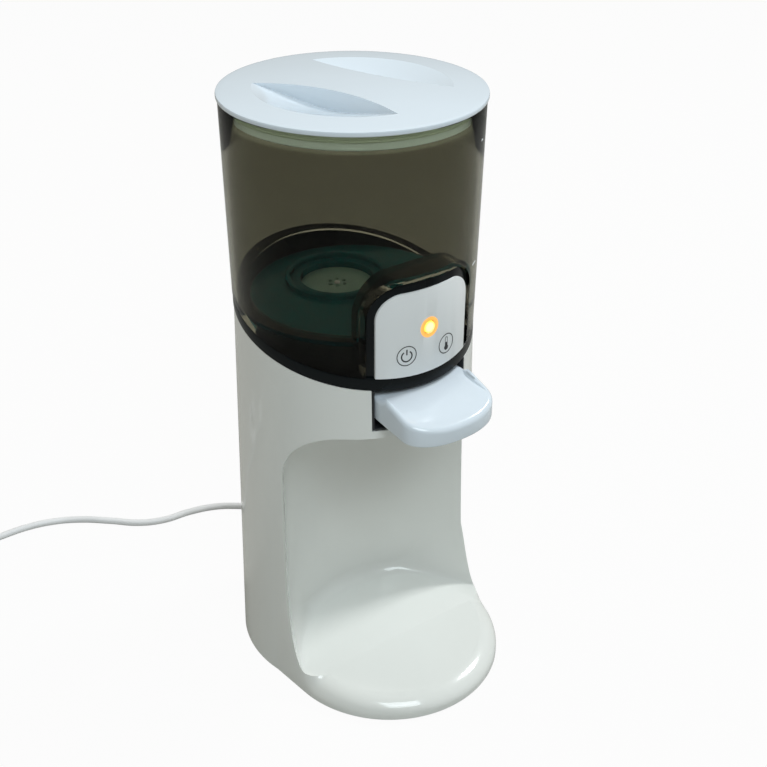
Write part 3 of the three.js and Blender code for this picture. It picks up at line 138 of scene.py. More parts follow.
class Bench:
    """Hand modelling with Blender's own operators, one piece on the bench at a time."""

    far_front: float = -130.0

    @staticmethod
    def clear() -> None:
        """Leaves edit mode and deselects everything."""
        if bpy.context.object and bpy.context.object.mode != "OBJECT":
            bpy.ops.object.mode_set(mode="OBJECT")
        bpy.ops.object.select_all(action="DESELECT")

    @classmethod
    def take(cls, piece: Piece) -> None:
        """Makes a piece the only selected and the active one.

        Args:
            piece: The piece to take.
        """
        cls.clear()
        piece.select_set(True)
        bpy.context.view_layer.objects.active = piece

    @staticmethod
    def bring(name: str, data: bpy.types.ID) -> Piece:
        """Brings a new object for the data into the scene.

        Args:
            name: The name of the new object.
            data: Its data, such as a mesh or a lamp.

        Returns:
            The new object.
        """
        piece = bpy.data.objects.new(name, data)
        bpy.context.scene.collection.objects.link(piece)
        return piece

    @classmethod
    def open_all(cls, piece: Piece) -> None:
        """Enters edit mode with all of the piece selected.

        Args:
            piece: The piece to open.
        """
        cls.take(piece)
        bpy.ops.object.mode_set(mode="EDIT")
        bpy.ops.mesh.select_all(action="SELECT")

    @staticmethod
    def close_outwards() -> None:
        """Turns every face of the open piece outwards and leaves edit mode."""
        bpy.ops.mesh.select_all(action="SELECT")
        bpy.ops.mesh.normals_make_consistent(inside=False)
        bpy.ops.object.mode_set(mode="OBJECT")

    @classmethod
    def modify(cls, piece: Piece, kind: str, **settings: object) -> None:
        """Adds a modifier to a piece and applies it.

        Args:
            piece: The piece that changes.
            kind: The modifier's type.
            settings: The modifier's own settings.
        """
        cls.take(piece)
        step = piece.modifiers.new(kind.lower(), kind)
        for name, value in settings.items():
            setattr(step, name, value)
        bpy.ops.object.modifier_apply(modifier=step.name)

    @classmethod
    def settle(cls, piece: Piece) -> None:
        """Puts the piece's place into its mesh and its object at the origin."""
        cls.take(piece)
        bpy.ops.object.transform_apply(location=True, rotation=True, scale=True)

    @classmethod
    def block(cls, name: str, low: Vector, high: Vector) -> Piece:
        """A box between two corners.

        Args:
            name: The name of the new object.
            low: The lowest corner.
            high: The highest corner.

        Returns:
            The new box.
        """
        cls.clear()
        bpy.ops.mesh.primitive_cube_add(size=1, location=(low + high) / 2)
        box = bpy.context.object
        box.name = name
        box.scale = high - low
        cls.settle(box)
        return box

    @classmethod
    def drum(cls, name: str, radius: float, low: Vector, high: Vector, sides: int = 64) -> Piece:
        """A round bar from one point to another.

        Args:
            name: The name of the new object.
            radius: Its radius, in millimetres.
            low: The middle of one end.
            high: The middle of the other end.
            sides: How many sides it has.

        Returns:
            The new bar.
        """
        cls.clear()
        along = high - low
        bpy.ops.mesh.primitive_cylinder_add(
            vertices=sides, radius=radius * MM, depth=along.length, location=(low + high) / 2,
            rotation=along.to_track_quat("Z", "Y").to_euler())
        bar = bpy.context.object
        bar.name = name
        cls.settle(bar)
        return bar

    @classmethod
    def turned(cls, name: str, profile: Sequence[Corner], y: float = 0, steps: int = 128,
               closed: bool = False) -> Piece:
        """Spins a profile about an upright line.

        Args:
            name: The name of the new object.
            profile: Radius and height of each corner, in millimetres.
            y: How far behind the tower's axis the line stands, in millimetres.
            steps: How many steps the spin takes.
            closed: Whether the last corner joins the first, as in a ring.

        Returns:
            The new piece.
        """
        cls.clear()
        bpy.ops.mesh.primitive_plane_add(size=MM, location=at(0, y, 0))
        piece = bpy.context.object
        piece.name = name
        cls.settle(piece)
        cls.open_all(piece)
        bpy.ops.mesh.merge(type="CENTER")
        first, *rest = [at(radius, y, height) for radius, height in profile]
        cls.move_selected(piece, first)
        here = first
        for corner in rest:
            bpy.ops.mesh.extrude_region_move(TRANSFORM_OT_translate={"value": corner - here})
            here = corner
        if closed:
            bpy.ops.mesh.select_all(action="SELECT")
            cls.close_wire(piece)
        bpy.ops.mesh.select_all(action="SELECT")
        bpy.ops.mesh.spin(steps=steps, angle=FULL_TURN, center=at(0, y, 0), axis=(0, 0, 1), dupli=False)
        bpy.ops.mesh.select_all(action="SELECT")
        bpy.ops.mesh.remove_doubles(threshold=FINE_WELD)
        cls.close_outwards()
        return piece

    @classmethod
    def disc(cls, name: str, radius: float, low: float, high: float, y: float = 0, steps: int = 128) -> Piece:
        """An upright disc between two heights, spun about an upright line."""
        return cls.turned(name, [(0, low), (radius, low), (radius, high), (0, high)], y, steps)

    @staticmethod
    def move_selected(piece: Piece, place: Vector) -> None:
        """Moves the piece's single vertex to a place while in edit mode.

        Args:
            piece: The open piece.
            place: Where the vertex goes.
        """
        mesh = bmesh.from_edit_mesh(piece.data)
        for vert in mesh.verts:
            vert.co = place
        bmesh.update_edit_mesh(piece.data)

    @staticmethod
    def close_wire(piece: Piece) -> None:
        """Joins the two loose ends of a wire while in edit mode.

        Args:
            piece: The open piece.
        """
        mesh = bmesh.from_edit_mesh(piece.data)
        ends = [vert for vert in mesh.verts if len(vert.link_edges) == 1]
        mesh.edges.new(ends)
        bmesh.update_edit_mesh(piece.data)

    @classmethod
    def raised(cls, name: str, rings: Sequence[Sequence[Vector]]) -> Piece:
        """Extrudes a filled ring step by step and sets the corners of each new ring one by one.

        Args:
            name: The name of the new object.
            rings: Equal rings of points, from one end to the other.

        Returns:
            The new closed piece.
        """
        cls.clear()
        bpy.ops.mesh.primitive_circle_add(vertices=len(rings[0]), radius=MM, fill_type="NGON")
        piece = bpy.context.object
        piece.name = name
        cls.open_all(piece)
        cls.set_ring(piece, rings[0])
        for ring in rings[1:]:
            bpy.ops.mesh.extrude_region_move()
            cls.set_ring(piece, ring)
        cls.close_outwards()
        return piece

    @staticmethod
    def set_ring(piece: Piece, ring: Sequence[Vector]) -> None:
        """Sets the corners of the selected face, in their order round it.

        Args:
            piece: The piece, in edit mode.
            ring: Where the corners go.
        """
        mesh = bmesh.from_edit_mesh(piece.data)
        face = next(face for face in mesh.faces if face.select)
        loops = [loop.vert for loop in face.loops]
        turn = min(range(len(loops)), key=lambda k: loops[k].index if loops[k].index >= 0 else 10**9)
        ordered = loops[turn:] + loops[:turn]
        for vert, place in zip(ordered, ring):
            vert.co = place
        mesh.verts.index_update()
        bmesh.update_edit_mesh(piece.data)

    @classmethod
    def combine(cls, piece: Piece, tool: Piece, how: Merge) -> None:
        """Joins a tool to the piece or cuts it out of it, and clears the tool away.

        Args:
            piece: The piece that changes.
            tool: The other solid.
            how: What the tool does to the piece.
        """
        cls.modify(piece, "BOOLEAN", operation=how.value, solver="EXACT", object=tool)
        bpy.data.objects.remove(tool)

    @classmethod
    def below_tilt(cls, piece: Piece, height: float, keep_above: bool = False) -> None:
        """Cuts the piece along the tilted plane that crosses the axis at a height.

        Args:
            piece: The closed piece to cut.
            height: Where the plane crosses the tower's axis, in millimetres.
            keep_above: Whether the part over the plane stays, and not the one under it.
        """
        cls.open_all(piece)
        bpy.ops.mesh.bisect(
            plane_co=at(0, 0, height), plane_no=(0, -math.sin(RIM_TILT), math.cos(RIM_TILT)),
            use_fill=True, clear_inner=keep_above, clear_outer=not keep_above)
        bpy.ops.object.mode_set(mode="OBJECT")

    @classmethod
    def soften(cls, piece: Piece, width: float, segments: int = 3, angle: float = 35) -> None:
        """Rounds the sharp edges of a piece.

        Args:
            piece: The piece to soften.
            width: Width of the rounding, in millimetres.
            segments: How many faces go round it.
            angle: Edges sharper than this many degrees are rounded.
        """
        cls.modify(piece, "BEVEL", width=width * MM, segments=segments, limit_method="ANGLE",
                   angle_limit=math.radians(angle), use_clamp_overlap=True)

    @classmethod
    def tidy(cls, piece: Piece, angle: float = 32, weld: float = WELD) -> None:
        """Welds doubled corners and shades the piece smooth.

        Args:
            piece: The piece to finish.
            angle: Edges sharper than this many degrees stay crisp.
            weld: How near the doubled corners lie, in metres.
        """
        cls.open_all(piece)
        bpy.ops.mesh.remove_doubles(threshold=weld)
        bpy.ops.object.mode_set(mode="OBJECT")
        bpy.ops.object.shade_smooth_by_angle(angle=math.radians(angle))

    @staticmethod
    def hoop(radius: float, height: float | HeightAt, steps: int = 160) -> list[Vector]:
        """A round of points about the tower's axis, level or tilted.

        Args:
            radius: Its radius, in millimetres.
            height: Its height, or the height at each y.
            steps: How many points it has.

        Returns:
            The points, in order.
        """
        points = []
        for k in range(steps):
            turn = (k + 0.5) / steps * FULL_TURN
            place = radius * math.sin(turn)
            level = height(place) if callable(height) else height
            points.append(at(radius * math.cos(turn), place, level))
        return points

    @classmethod
    def prism(cls, name: str, outline: Sequence[Corner], rear: float) -> Piece:
        """An outline seen from the front, carried from well before the tower back to a plane.

        Args:
            name: The name of the new object.
            outline: Its x and z, in millimetres.
            rear: Where it ends, in millimetres behind the tower's axis.

        Returns:
            The prism.
        """
        return cls.raised(name, [[at(x, y, z) for x, z in outline] for y in (cls.far_front, rear)])

    @staticmethod
    def wrap(piece: Piece, radius: float) -> None:
        """Bends a flat print onto the front of an upright round.

        Args:
            piece: Its x runs along the round, its z up, and its y out of it, in metres.
            radius: The radius of the round, in millimetres.
        """
        for vert in piece.data.vertices:
            along, out, height = vert.co
            angle = along / (radius * MM)
            reach = radius - out / MM
            vert.co = at(reach * math.sin(angle), -reach * math.cos(angle), height / MM)

    @classmethod
    def join(cls, pieces: Sequence[Piece]) -> Piece:
        """Joins pieces into one.

        Args:
            pieces: The pieces, of which the first takes in the others.

        Returns:
            The first piece.
        """
        first, *others = pieces
        cls.take(first)
        for piece in others:
            piece.select_set(True)
        if others:
            bpy.ops.object.join()
        return first

    @classmethod
    def even(cls, piece: Piece) -> None:
        """Weighs the shading by face area, so that flats stay flat beside their rounded edges."""
        cls.modify(piece, "WEIGHTED_NORMAL", keep_sharp=True)

    @classmethod
    def copy_of(cls, node: Piece, name: str, angle: float = 32) -> Piece:
        """A welded, smooth-shaded copy of a frame node, with its own mesh.

        Args:
            node: The frame's own object.
            name: The name of the copy.
            angle: Edges sharper than this many degrees stay crisp.

        Returns:
            The copy, unparented, at the origin.
        """
        piece = cls.bring(name, node.data.copy())
        piece.data.materials.clear()
        cls.tidy(piece, angle)
        return piece


def principled(name: str, colour: Colour, roughness: float) -> tuple[bpy.types.Material, Tree, Shader]:
    """A new material with one Principled shader.

    Args:
        name: The material's name.
        colour: Base colour, linear.
        roughness: Base roughness.

    Returns:
        The material, its node tree and the shader node.
    """
    material = bpy.data.materials.new(name)
    material.use_nodes = True
    tree = material.node_tree
    shader = tree.nodes["Principled BSDF"]
    shader.inputs["Base Color"].default_value = (*colour, 1)
    shader.inputs["Roughness"].default_value = roughness
    return material, tree, shader


def feed(tree: Tree, value: Socket | Colour | float, target: Socket) -> None:
    """Links a socket to an input, or gives the input a colour or a number.

    Args:
        tree: The material's node tree.
        value: What the input gets.
        target: The input.
    """
    if isinstance(value, Socket):
        tree.links.new(value, target)
    elif isinstance(value, tuple):
        target.default_value = (*value, 1)
    else:
        target.default_value = value


def place_on_piece(tree: Tree) -> Socket:
    """Each point's place in the piece's own space, in metres."""
    return tree.nodes.new("ShaderNodeTexCoord").outputs["Object"]


def reach_from(tree: Tree, centre: Point, across: Point) -> Socket:
    """Each point's distance from a line.

    Args:
        tree: The material's node tree.
        centre: A point of the line, in metres.
        across: 1 for each axis square to the line, and 0 for the one along it.

    Returns:
        The distance's socket, in metres.
    """
    value = place_on_piece(tree)
    for operation, other in (("SUBTRACT", centre), ("MULTIPLY", across)):
        step = tree.nodes.new("ShaderNodeVectorMath")
        step.operation = operation
        step.inputs[1].default_value = other
        tree.links.new(value, step.inputs[0])
        value = step.outputs["Vector"]
    length = tree.nodes.new("ShaderNodeVectorMath")
    length.operation = "LENGTH"
    tree.links.new(value, length.inputs[0])
    return length.outputs["Value"]


def reckon(tree: Tree, operation: str, first: Socket | float, second: Socket | float) -> Socket:
    """One step of arithmetic on two numbers.

    Args:
        tree: The material's node tree.
        operation: What the Math node does.
        first: The first number.
        second: The second number.

    Returns:
        The result's socket.
    """
    step = tree.nodes.new("ShaderNodeMath")
    step.operation = operation
    feed(tree, first, step.inputs[0])
    feed(tree, second, step.inputs[1])
    return step.outputs["Value"]


def noise(tree: Tree, scale: float, detail: float = 3) -> Socket:
    """A noise pattern in the object's own space.

    Args:
        tree: The material's node tree.
        scale: How fine the pattern is, in turns per metre.
        detail: How many finer layers it has.

    Returns:
        The pattern's value socket.
    """
    pattern = tree.nodes.new("ShaderNodeTexNoise")
    pattern.inputs["Scale"].default_value = scale
    pattern.inputs["Detail"].default_value = detail
    tree.links.new(place_on_piece(tree), pattern.inputs["Vector"])
    return pattern.outputs["Fac"]


def remap(tree: Tree, value: Socket, source: Corner, target: Corner = (0, 1)) -> Socket:
    """Maps one range of a value onto another, and holds what lies outside at the ends.

    Args:
        tree: The material's node tree.
        value: The value.
        source: The range that it comes in.
        target: The range that it goes to.

    Returns:
        The result's socket.
    """
    node = tree.nodes.new("ShaderNodeMapRange")
    for name, limit in zip(("From Min", "From Max", "To Min", "To Max"), (*source, *target)):
        node.inputs[name].default_value = limit
    tree.links.new(value, node.inputs["Value"])
    return node.outputs["Result"]


def spread(tree: Tree, pattern: Socket, low: float, high: float) -> Socket:
    """Maps a noise pattern's middle range onto low to high."""
    return remap(tree, pattern, NOISE_RANGE, (low, high))


def bump(tree: Tree, shader: Shader, pattern: Socket, height: float) -> None:
    """Raises a pattern on the surface.

    Args:
        tree: The material's node tree.
        shader: The shader that shows it.
        pattern: The pattern.
        height: Its height in metres.
    """
    node = tree.nodes.new("ShaderNodeBump")
    node.inputs["Strength"].default_value = 1
    node.inputs["Distance"].default_value = height
    tree.links.new(pattern, node.inputs["Height"])
    tree.links.new(node.outputs["Normal"], shader.inputs["Normal"])


def blend(tree: Tree, share: Socket, low: Socket | Colour, high: Socket | Colour) -> Socket:
    """Mixes two colours.

    Args:
        tree: The material's node tree.
        share: How much of the second colour there is, from 0 to 1.
        low: The first colour.
        high: The second colour.

    Returns:
        The mixed colour's socket.
    """
    node = tree.nodes.new("ShaderNodeMix")
    node.data_type = "RGBA"
    tree.links.new(share, node.inputs[MIX_SHARE])
    feed(tree, low, node.inputs[MIX_LOW])
    feed(tree, high, node.inputs[MIX_HIGH])
    return node.outputs[MIX_RESULT]


def mottle(tree: Tree, shader: Shader, scale: float, low: Colour, high: Colour) -> None:
    """Lets a noise pattern shift the base colour between two colours.

    Args:
        tree: The material's node tree.
        shader: The shader that shows it.
        scale: How fine the pattern is, in turns per metre.
        low: The first colour.
        high: The second colour.
    """
    share = spread(tree, noise(tree, scale), 0, 1)
    tree.links.new(blend(tree, share, low, high), shader.inputs["Base Color"])


@dataclass(frozen=True)
class MouldedPlastic:
    """A moulded plastic with faint flow in its colour, gloss and surface."""

    name: str
    colour: Colour
    roughness: float
    shift: float = 0.02
    ripple: float = 0.004
    grain: float = 220.0
    coat: float = 0.0
    shine: float = 0.5
    flow: float = 14.0
    wear: float = 30.0
    coat_roughness: float = 0.05

    def make(self) -> bpy.types.Material:
        """Builds the material.

        Returns:
            The finished material.
        """
        material, tree, shader = principled(self.name, self.colour, self.roughness)
        low = tuple(max(0.0, c * (1 - self.shift)) for c in self.colour)
        high = tuple(min(1.0, c * (1 + self.shift)) for c in self.colour)
        mottle(tree, shader, self.flow, low, high)
        gloss = spread(tree, noise(tree, self.wear, 4), self.roughness * 0.85, self.roughness * 1.2)
        tree.links.new(gloss, shader.inputs["Roughness"])
        bump(tree, shader, noise(tree, self.grain, 2), self.ripple * MM)
        shader.inputs["Specular IOR Level"].default_value = self.shine
        shader.inputs["Coat Weight"].default_value = self.coat
        shader.inputs["Coat Roughness"].default_value = self.coat_roughness
        return material


@dataclass(frozen=True)
class SmokeTint:
    """Clear plastic with a dark smoke tint; teal and less clear at the tank's floor, which is a painted
    sheen, and a paler band at its rim, which is painted light on the lid's skirt seen through it.
    """

    name: str = "smoke_tint"
    wall: Colour = (0.36, 0.35, 0.285)
    # Painted sheen: the teal that the black seat shows through the tank's floor.
    floor: Colour = (0.015, 0.21, 0.24)
    # Painted light: a paler tint at the rim, so the lid's skirt behind it shows brighter.
    rim: Colour = (0.66, 0.68, 0.56)
    floor_top: float = 222.0 * MM
    wall_low: float = 230.0 * MM
    wall_high: float = 312.6 * MM
    rim_low: float = 313.6 * MM
    floor_clear: float = 0.45
    floor_edge: float = 53.0 * MM
    wall_inside: float = 54.3 * MM
    bending: float = 1.2
    smoothest: float = 0.004
    roughest: float = 0.018
    ripple: float = 0.02

    def make(self) -> bpy.types.Material:
        """Builds the material.

        Returns:
            The finished material.
        """
        material, tree, shader = principled(self.name, self.wall, self.roughest)
        split = tree.nodes.new("ShaderNodeSeparateXYZ")
        tree.links.new(place_on_piece(tree), split.inputs["Vector"])
        height = split.outputs["Z"]
        reach = reach_from(tree, (0, TOWER_Y, 0), (1, 1, 0))
        over_floor = remap(tree, height, (self.floor_top, self.wall_low))
        off_floor = remap(tree, reach, (self.floor_edge, self.wall_inside))
        rise = reckon(tree, "MAXIMUM", over_floor, off_floor)
        near_rim = remap(tree, height, (self.wall_high, self.rim_low))
        # Blends the painted teal sheen at the floor and the painted light of the pale rim into the smoke
        # tint, by height and reach.
        colour = blend(tree, near_rim, blend(tree, rise, self.floor, self.wall), self.rim)
        tree.links.new(colour, shader.inputs["Base Color"])
        tree.links.new(spread(tree, rise, self.floor_clear, 1), shader.inputs["Transmission Weight"])
        shader.inputs["IOR"].default_value = self.bending
        gloss = spread(tree, noise(tree, 25), self.smoothest, self.roughest)
        tree.links.new(gloss, shader.inputs["Roughness"])
        bump(tree, shader, noise(tree, 9, 1), self.ripple * MM)
        return material


@dataclass(frozen=True)
class Metal:
    """Drawn or rolled metal with fine lines along one direction."""

    name: str
    colour: Colour
    roughness: float
    lines: Point = (900, 900, 60)
    ripple: float = 0.001

    def make(self) -> bpy.types.Material:
        """Builds the material.

        Returns:
            The finished material.
        """
        material, tree, shader = principled(self.name, self.colour, self.roughness)
        shader.inputs["Metallic"].default_value = 1
        stretch = tree.nodes.new("ShaderNodeMapping")
        stretch.inputs["Scale"].default_value = self.lines
        pattern = tree.nodes.new("ShaderNodeTexNoise")
        pattern.inputs["Scale"].default_value = 1
        tree.links.new(place_on_piece(tree), stretch.inputs["Vector"])
        tree.links.new(stretch.outputs["Vector"], pattern.inputs["Vector"])
        gloss = spread(tree, pattern.outputs["Fac"], self.roughness * 0.7, self.roughness * 1.4)
        tree.links.new(gloss, shader.inputs["Roughness"])
        bump(tree, shader, pattern.outputs["Fac"], self.ripple * MM)
        return material


@dataclass(frozen=True)
class SoftRubber:
    """Rubber, silicone or cord jacket: soft sheen and a fine skin."""

    name: str
    colour: Colour
    roughness: float
    clear: float = 0.0
    skin: float = 1500.0
    ripple: float = 0.01

    def make(self) -> bpy.types.Material:
        """Builds the material.

        Returns:
            The finished material.
        """
        material, tree, shader = principled(self.name, self.colour, self.roughness)
        low = tuple(c * 0.94 for c in self.colour)
        high = tuple(min(1.0, c * 1.04) for c in self.colour)
        mottle(tree, shader, 40, low, high)
        gloss = spread(tree, noise(tree, 300), self.roughness * 0.9, min(1, self.roughness * 1.15))
        tree.links.new(gloss, shader.inputs["Roughness"])
        bump(tree, shader, noise(tree, self.skin, 2), self.ripple * MM)
        shader.inputs["Transmission Weight"].default_value = self.clear
        return material


@dataclass(frozen=True)
class LampGlow:
    """Amber lamp: a pale core that falls off to amber towards its edge."""

    name: str = "lamp_lens"
    core: Colour = (1.0, 0.80, 0.30)
    ring: Colour = (1.0, 0.30, 0.01)
    core_radius: float = 1.9 * MM
    edge_radius: float = 3.3 * MM
    height: float = 222.4 * MM
    strength: float = 2.0

    def make(self) -> bpy.types.Material:
        """Builds the material.

        Returns:
            The finished material.
        """
        material, tree, shader = principled(self.name, self.ring, 0.3)
        reach = reach_from(tree, (0, 0, self.height), (1, 0, 1))
        fall = remap(tree, reach, (self.core_radius, self.edge_radius))
        tree.links.new(blend(tree, fall, self.core, self.ring), shader.inputs["Emission Color"])
        shader.inputs["Emission Strength"].default_value = self.strength
        return material


class Finish(Enum):
    """Every finish on the warmer, by the record's material slot."""

    WHITE_SHELL = MouldedPlastic("white_shell", (0.79, 0.81, 0.78), 0.14, 0.012, 0.002, coat=0.3)
    # Painted skylight: the bluish cast stands for the light from above on the lid's and the lever's upward
    # faces.
    WHITE_GLOSS = MouldedPlastic("white_gloss", (0.73, 0.81, 0.88), 0.16, 0.012, 0.002, coat=0.3)
    WHITE_LABEL = MouldedPlastic("white_label", (0.82, 0.85, 0.86), 0.22, 0.01, 0.001)
    WHITE_INNER = MouldedPlastic("white_inner", (0.62, 0.64, 0.64), 0.45)
    BLACK_PLASTIC = MouldedPlastic("black_plastic", (0.004, 0.006, 0.007), 0.22, 0.2, 0.003, shine=0.18)
    DARK_INNER = MouldedPlastic("dark_inner", (0.02, 0.022, 0.025), 0.5, 0.1)
    SMOKE_TINT = SmokeTint()
    TRANSLUCENT = MouldedPlastic("translucent_plastic", (0.24, 0.38, 0.35), 0.35)
    LAMP_LENS = LampGlow()
    LAMP_HALO = LampGlow("lamp_lens", (1.0, 0.36, 0.01), (1.0, 0.48, 0.12), 3.3 * MM, 5.4 * MM,
                         strength=0.6)
    CIRCUIT_BOARD = MouldedPlastic("circuit_board", (0.012, 0.12, 0.045), 0.35, 0.15)
    SPRING_STEEL = Metal("spring_steel", (0.55, 0.56, 0.58), 0.25)
    HEATER_METAL = Metal("heater_metal", (0.52, 0.52, 0.53), 0.35)
    BRASS_PROBE = Metal("brass_probe", (0.62, 0.42, 0.14), 0.3)
    PLUG_BRASS = Metal("plug_brass", (0.75, 0.62, 0.32), 0.25)
    TRANSFORMER_TAPE = MouldedPlastic("transformer_tape", (0.50, 0.36, 0.04), 0.5, 0.1)
    SILICONE_HOSE = SoftRubber("silicone_hose", (0.72, 0.70, 0.64), 0.4, 0.4)
    DARK_RUBBER = SoftRubber("dark_rubber", (0.022, 0.023, 0.025), 0.75)
    PALE_SEAL = SoftRubber("pale_seal", (0.62, 0.70, 0.64), 0.5)
    WHITE_CORD = SoftRubber("white_cord", (0.80, 0.81, 0.82), 0.42)


class Paint:
    """Makes each finish once and puts it on pieces."""

    def __init__(self) -> None:
        """Starts with no material made."""
        self.made: dict[Finish, bpy.types.Material] = {}

    def material(self, finish: Finish) -> bpy.types.Material:
        """The finish's material, made on first use."""
        if finish not in self.made:
            self.made[finish] = finish.value.make()
        return self.made[finish]

    def coat(self, piece: Piece, finish: Finish) -> None:
        """Puts a finish all over a piece.

        Args:
            piece: The piece, or a node of the frame.
            finish: What it is finished in.
        """
        piece.data.materials.clear()
        piece.data.materials.append(self.material(finish))


@dataclass
class Assembly:
    """What every sub-assembly has: the frame's nodes, the paint and the names of its pieces."""

    nodes: dict[str, Piece]
    paint: Paint
    pieces: list[str] = field(default_factory=list)

    def seat(self, piece: Piece, body: Body, finish: Finish, *replaced: str) -> Piece:
        """Hands a finished piece to the frame.

        Args:
            piece: The piece, in place.
            body: The rigid body that carries it.
            finish: Its finish.
            replaced: The frame's nodes that it stands for.

        Returns:
            The same piece.
        """
        self.paint.coat(piece, finish)
        Bench.clear()
        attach(piece, body.value)
        if replaced:
            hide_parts(*replaced)
        self.pieces.append(piece.name)
        return piece

    def smooth_node(self, node: str, finish: Finish, soften: float = 0, body: Body = Body.TOWER,
                    angle: float = 32) -> Piece:
        """Replaces a node by a welded copy with softened edges.

        Args:
            node: The frame's node.
            finish: Its finish.
            soften: Width of the rounding on its edges in millimetres, or 0.
            body: The body that carries it.
            angle: Edges sharper than this many degrees stay crisp.

        Returns:
            The copy.
        """
        piece = Bench.copy_of(self.nodes[node], f"{node}_fine", angle)
        if soften:
            Bench.soften(piece, soften, 2)
            Bench.tidy(piece, angle, FINE_WELD)
        return self.seat(piece, body, finish, node)

    def sprung_node(self, node: str, body: Body, joint: str, travel: float, fixed_high: bool) -> None:
        """Replaces a coil spring's node by a smooth copy with its own mesh.

        Args:
            node: The frame's node.
            body: The body that carries the spring's fixed end.
            joint: The joint that presses the other end. Not used.
            travel: How far that end moves in millimetres. Not used.
            fixed_high: True when the upper end is the fixed one.
        """
        spring = self.smooth_node(node, Finish.SPRING_STEEL, body=body, angle=60)
        low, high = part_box(node)
        middle = [(a + b) / 2 for a, b in zip(low, high)]
        middle[2] = high[2] if fixed_high else low[2]
        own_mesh(spring)


@dataclass
class Tower(Assembly):
    """White tower shell with the bottle bay and the foot."""

    wall: float = 2.6
    toe_radius: float = 63.2
    toe_reach: float = 32.6
    pad_rear: float = 17.0
    pad_front: float = 11.5
    edge_low: float = 4.0
    edge_reach: float = 12.0
    cheek_top: float = 58.0
    cheek_reach: float = 3.0
    cheek_rear: float = -20.01
    cheek_front: float = -48.02
    flank_start: float = 0.30
    toe_start: float = 0.44
    toe_end: float = 0.86
    bay_radius: float = 74.037
    bay_back: float = 11.006
    bay_top: float = 166.0
    bay_dome: float = 30.0
    heel_back: float = 7.0
    heel_side: float = 60.0
    shell_low: float = 1.5
    slot_half: float = 29.3
    slot_low: float = 170.1
    spout_hole: float = 5.3
    spout_y: float = -33.0
    cord_x: float = 14.0
    cord_z: float = 9.0
    cord_hole: float = 4.3
    heel_near: float = math.radians(25)
    heel_far: float = math.radians(60)
    solid_top: float = 232.0
    overlap: float = 0.1
    hem: float = 8.0
    ring_points: int = 200
    edge_steps: int = 14
    heel_steps: int = 10
    dome_steps: int = 16

    def build(self) -> None:
        """Builds and seats every piece of the tower."""
        self.build_shell()
        for side in ("front_right", "front_left", "rear_right", "rear_left"):
            self.smooth_node(f"rubber_foot_{side}", Finish.DARK_RUBBER, 0.4)
            self.smooth_node(f"base_screw_{side}", Finish.SPRING_STEEL, 0.15)
        self.smooth_node("base_plate", Finish.WHITE_INNER)
        self.smooth_node("spout", Finish.TRANSLUCENT)

    def pad(self, y: float) -> float:
        """Height of the bay's floor at y."""
        toe = -(self.toe_reach + self.toe_radius)
        return mix(self.pad_rear, self.pad_front, (self.bay_back - y) / (self.bay_back - toe))

    def radius(self, z: float) -> float:
        """The tower's outer radius at a height."""
        return mix(BASE_RADIUS, RIM_RADIUS, z / RIM_HEIGHT)

    def outline(self, share: float, inset: float, lean: float) -> Corner:
        """A point of the foot's outline.

        Args:
            share: How far round it lies, from 0 to 1.
            inset: How far inside the outer skin.
            lean: How much further in the tower's taper puts it.

        Returns:
            Its x and y, in millimetres from the tower's axis.
        """
        rear = BASE_RADIUS - inset - lean
        toe = self.toe_radius - inset - lean
        tangent = math.asin((rear - toe) / self.toe_reach)
        left = math.pi + tangent

        def on_rear(angle: float) -> Vector:
            """A point of the round tower."""
            return Vector((rear * math.cos(angle), rear * math.sin(angle)))

        def on_toe(angle: float) -> Vector:
            """A point of the round toe."""
            return Vector((toe * math.cos(angle), toe * math.sin(angle) - self.toe_reach))

        if share < self.flank_start:
            place = on_rear(mix(-tangent, left, share / self.flank_start))
        elif share < self.toe_start:
            along = (share - self.flank_start) / (self.toe_start - self.flank_start)
            place = on_rear(left).lerp(on_toe(left), along)
        elif share < self.toe_end:
            along = (share - self.toe_start) / (self.toe_end - self.toe_start)
            place = on_toe(mix(left, FULL_TURN - tangent, along))
        else:
            place = on_toe(-tangent).lerp(on_rear(-tangent), (share - self.toe_end) / (1 - self.toe_end))
        return place.x, place.y

    def foot_rings(self, inset: float, low: float) -> list[list[Vector]]:
        """Rings of the foot from its sole to the top of its rounded edge.

        Args:
            inset: How far inside the outer skin.
            low: Height of the sole.

        Returns:
            The rings, from the sole up.
        """
        taper = (BASE_RADIUS - RIM_RADIUS) / RIM_HEIGHT

        def ring(turn: float, extra: float, flat: bool = False) -> list[Vector]:
            """One ring at the sole, along the rounding or on the pad.

            Args:
                turn: How far round the edge it lies, in radians.
                extra: How much further in than the edge, for a ring on the pad.
                flat: Whether it lies at the sole's height.

            Returns:
                Its points.
            """
            row = []
            for k in range(self.ring_points):
                share = k / self.ring_points
                _, y = self.outline(share, inset, 0)
                rise = smooth_step(self.cheek_front, self.cheek_rear, y)
                reach = inset + mix(self.edge_reach, self.cheek_reach, rise) * (1 - math.cos(turn)) + extra
                _, pad_y = self.outline(share, reach, 0)
                pad = self.pad(pad_y) - inset
                if flat:
                    z = low
                elif extra:
                    z = pad
                else:
                    z = mix(self.edge_low, mix(pad, self.cheek_top - inset, rise), math.sin(turn))
                behind = smooth_step(self.cheek_front, 0, y) * (0.5 + taper * z)
                row.append(at(*self.outline(share, reach, behind), z))
            return row

        rings = [ring(0, 0, flat=True)]
        rings += [ring(k / self.edge_steps * math.pi / 2, 0) for k in range(self.edge_steps + 1)]
        rings.append(ring(math.pi / 2, self.edge_reach * 1.5))
        return rings

    def bay_rings(self, grow: float) -> list[list[Vector]]:
        """Rings of the air in the bay, from its floor to the top of its dome.

        Args:
            grow: How far outside the bay's skin.

        Returns:
            The rings, from the floor up.
        """
        centre = self.bay_back - self.bay_radius
        radius = self.bay_radius + grow
        dome = self.bay_dome + grow
        turns = [FULL_TURN * k / self.ring_points for k in range(self.ring_points)]

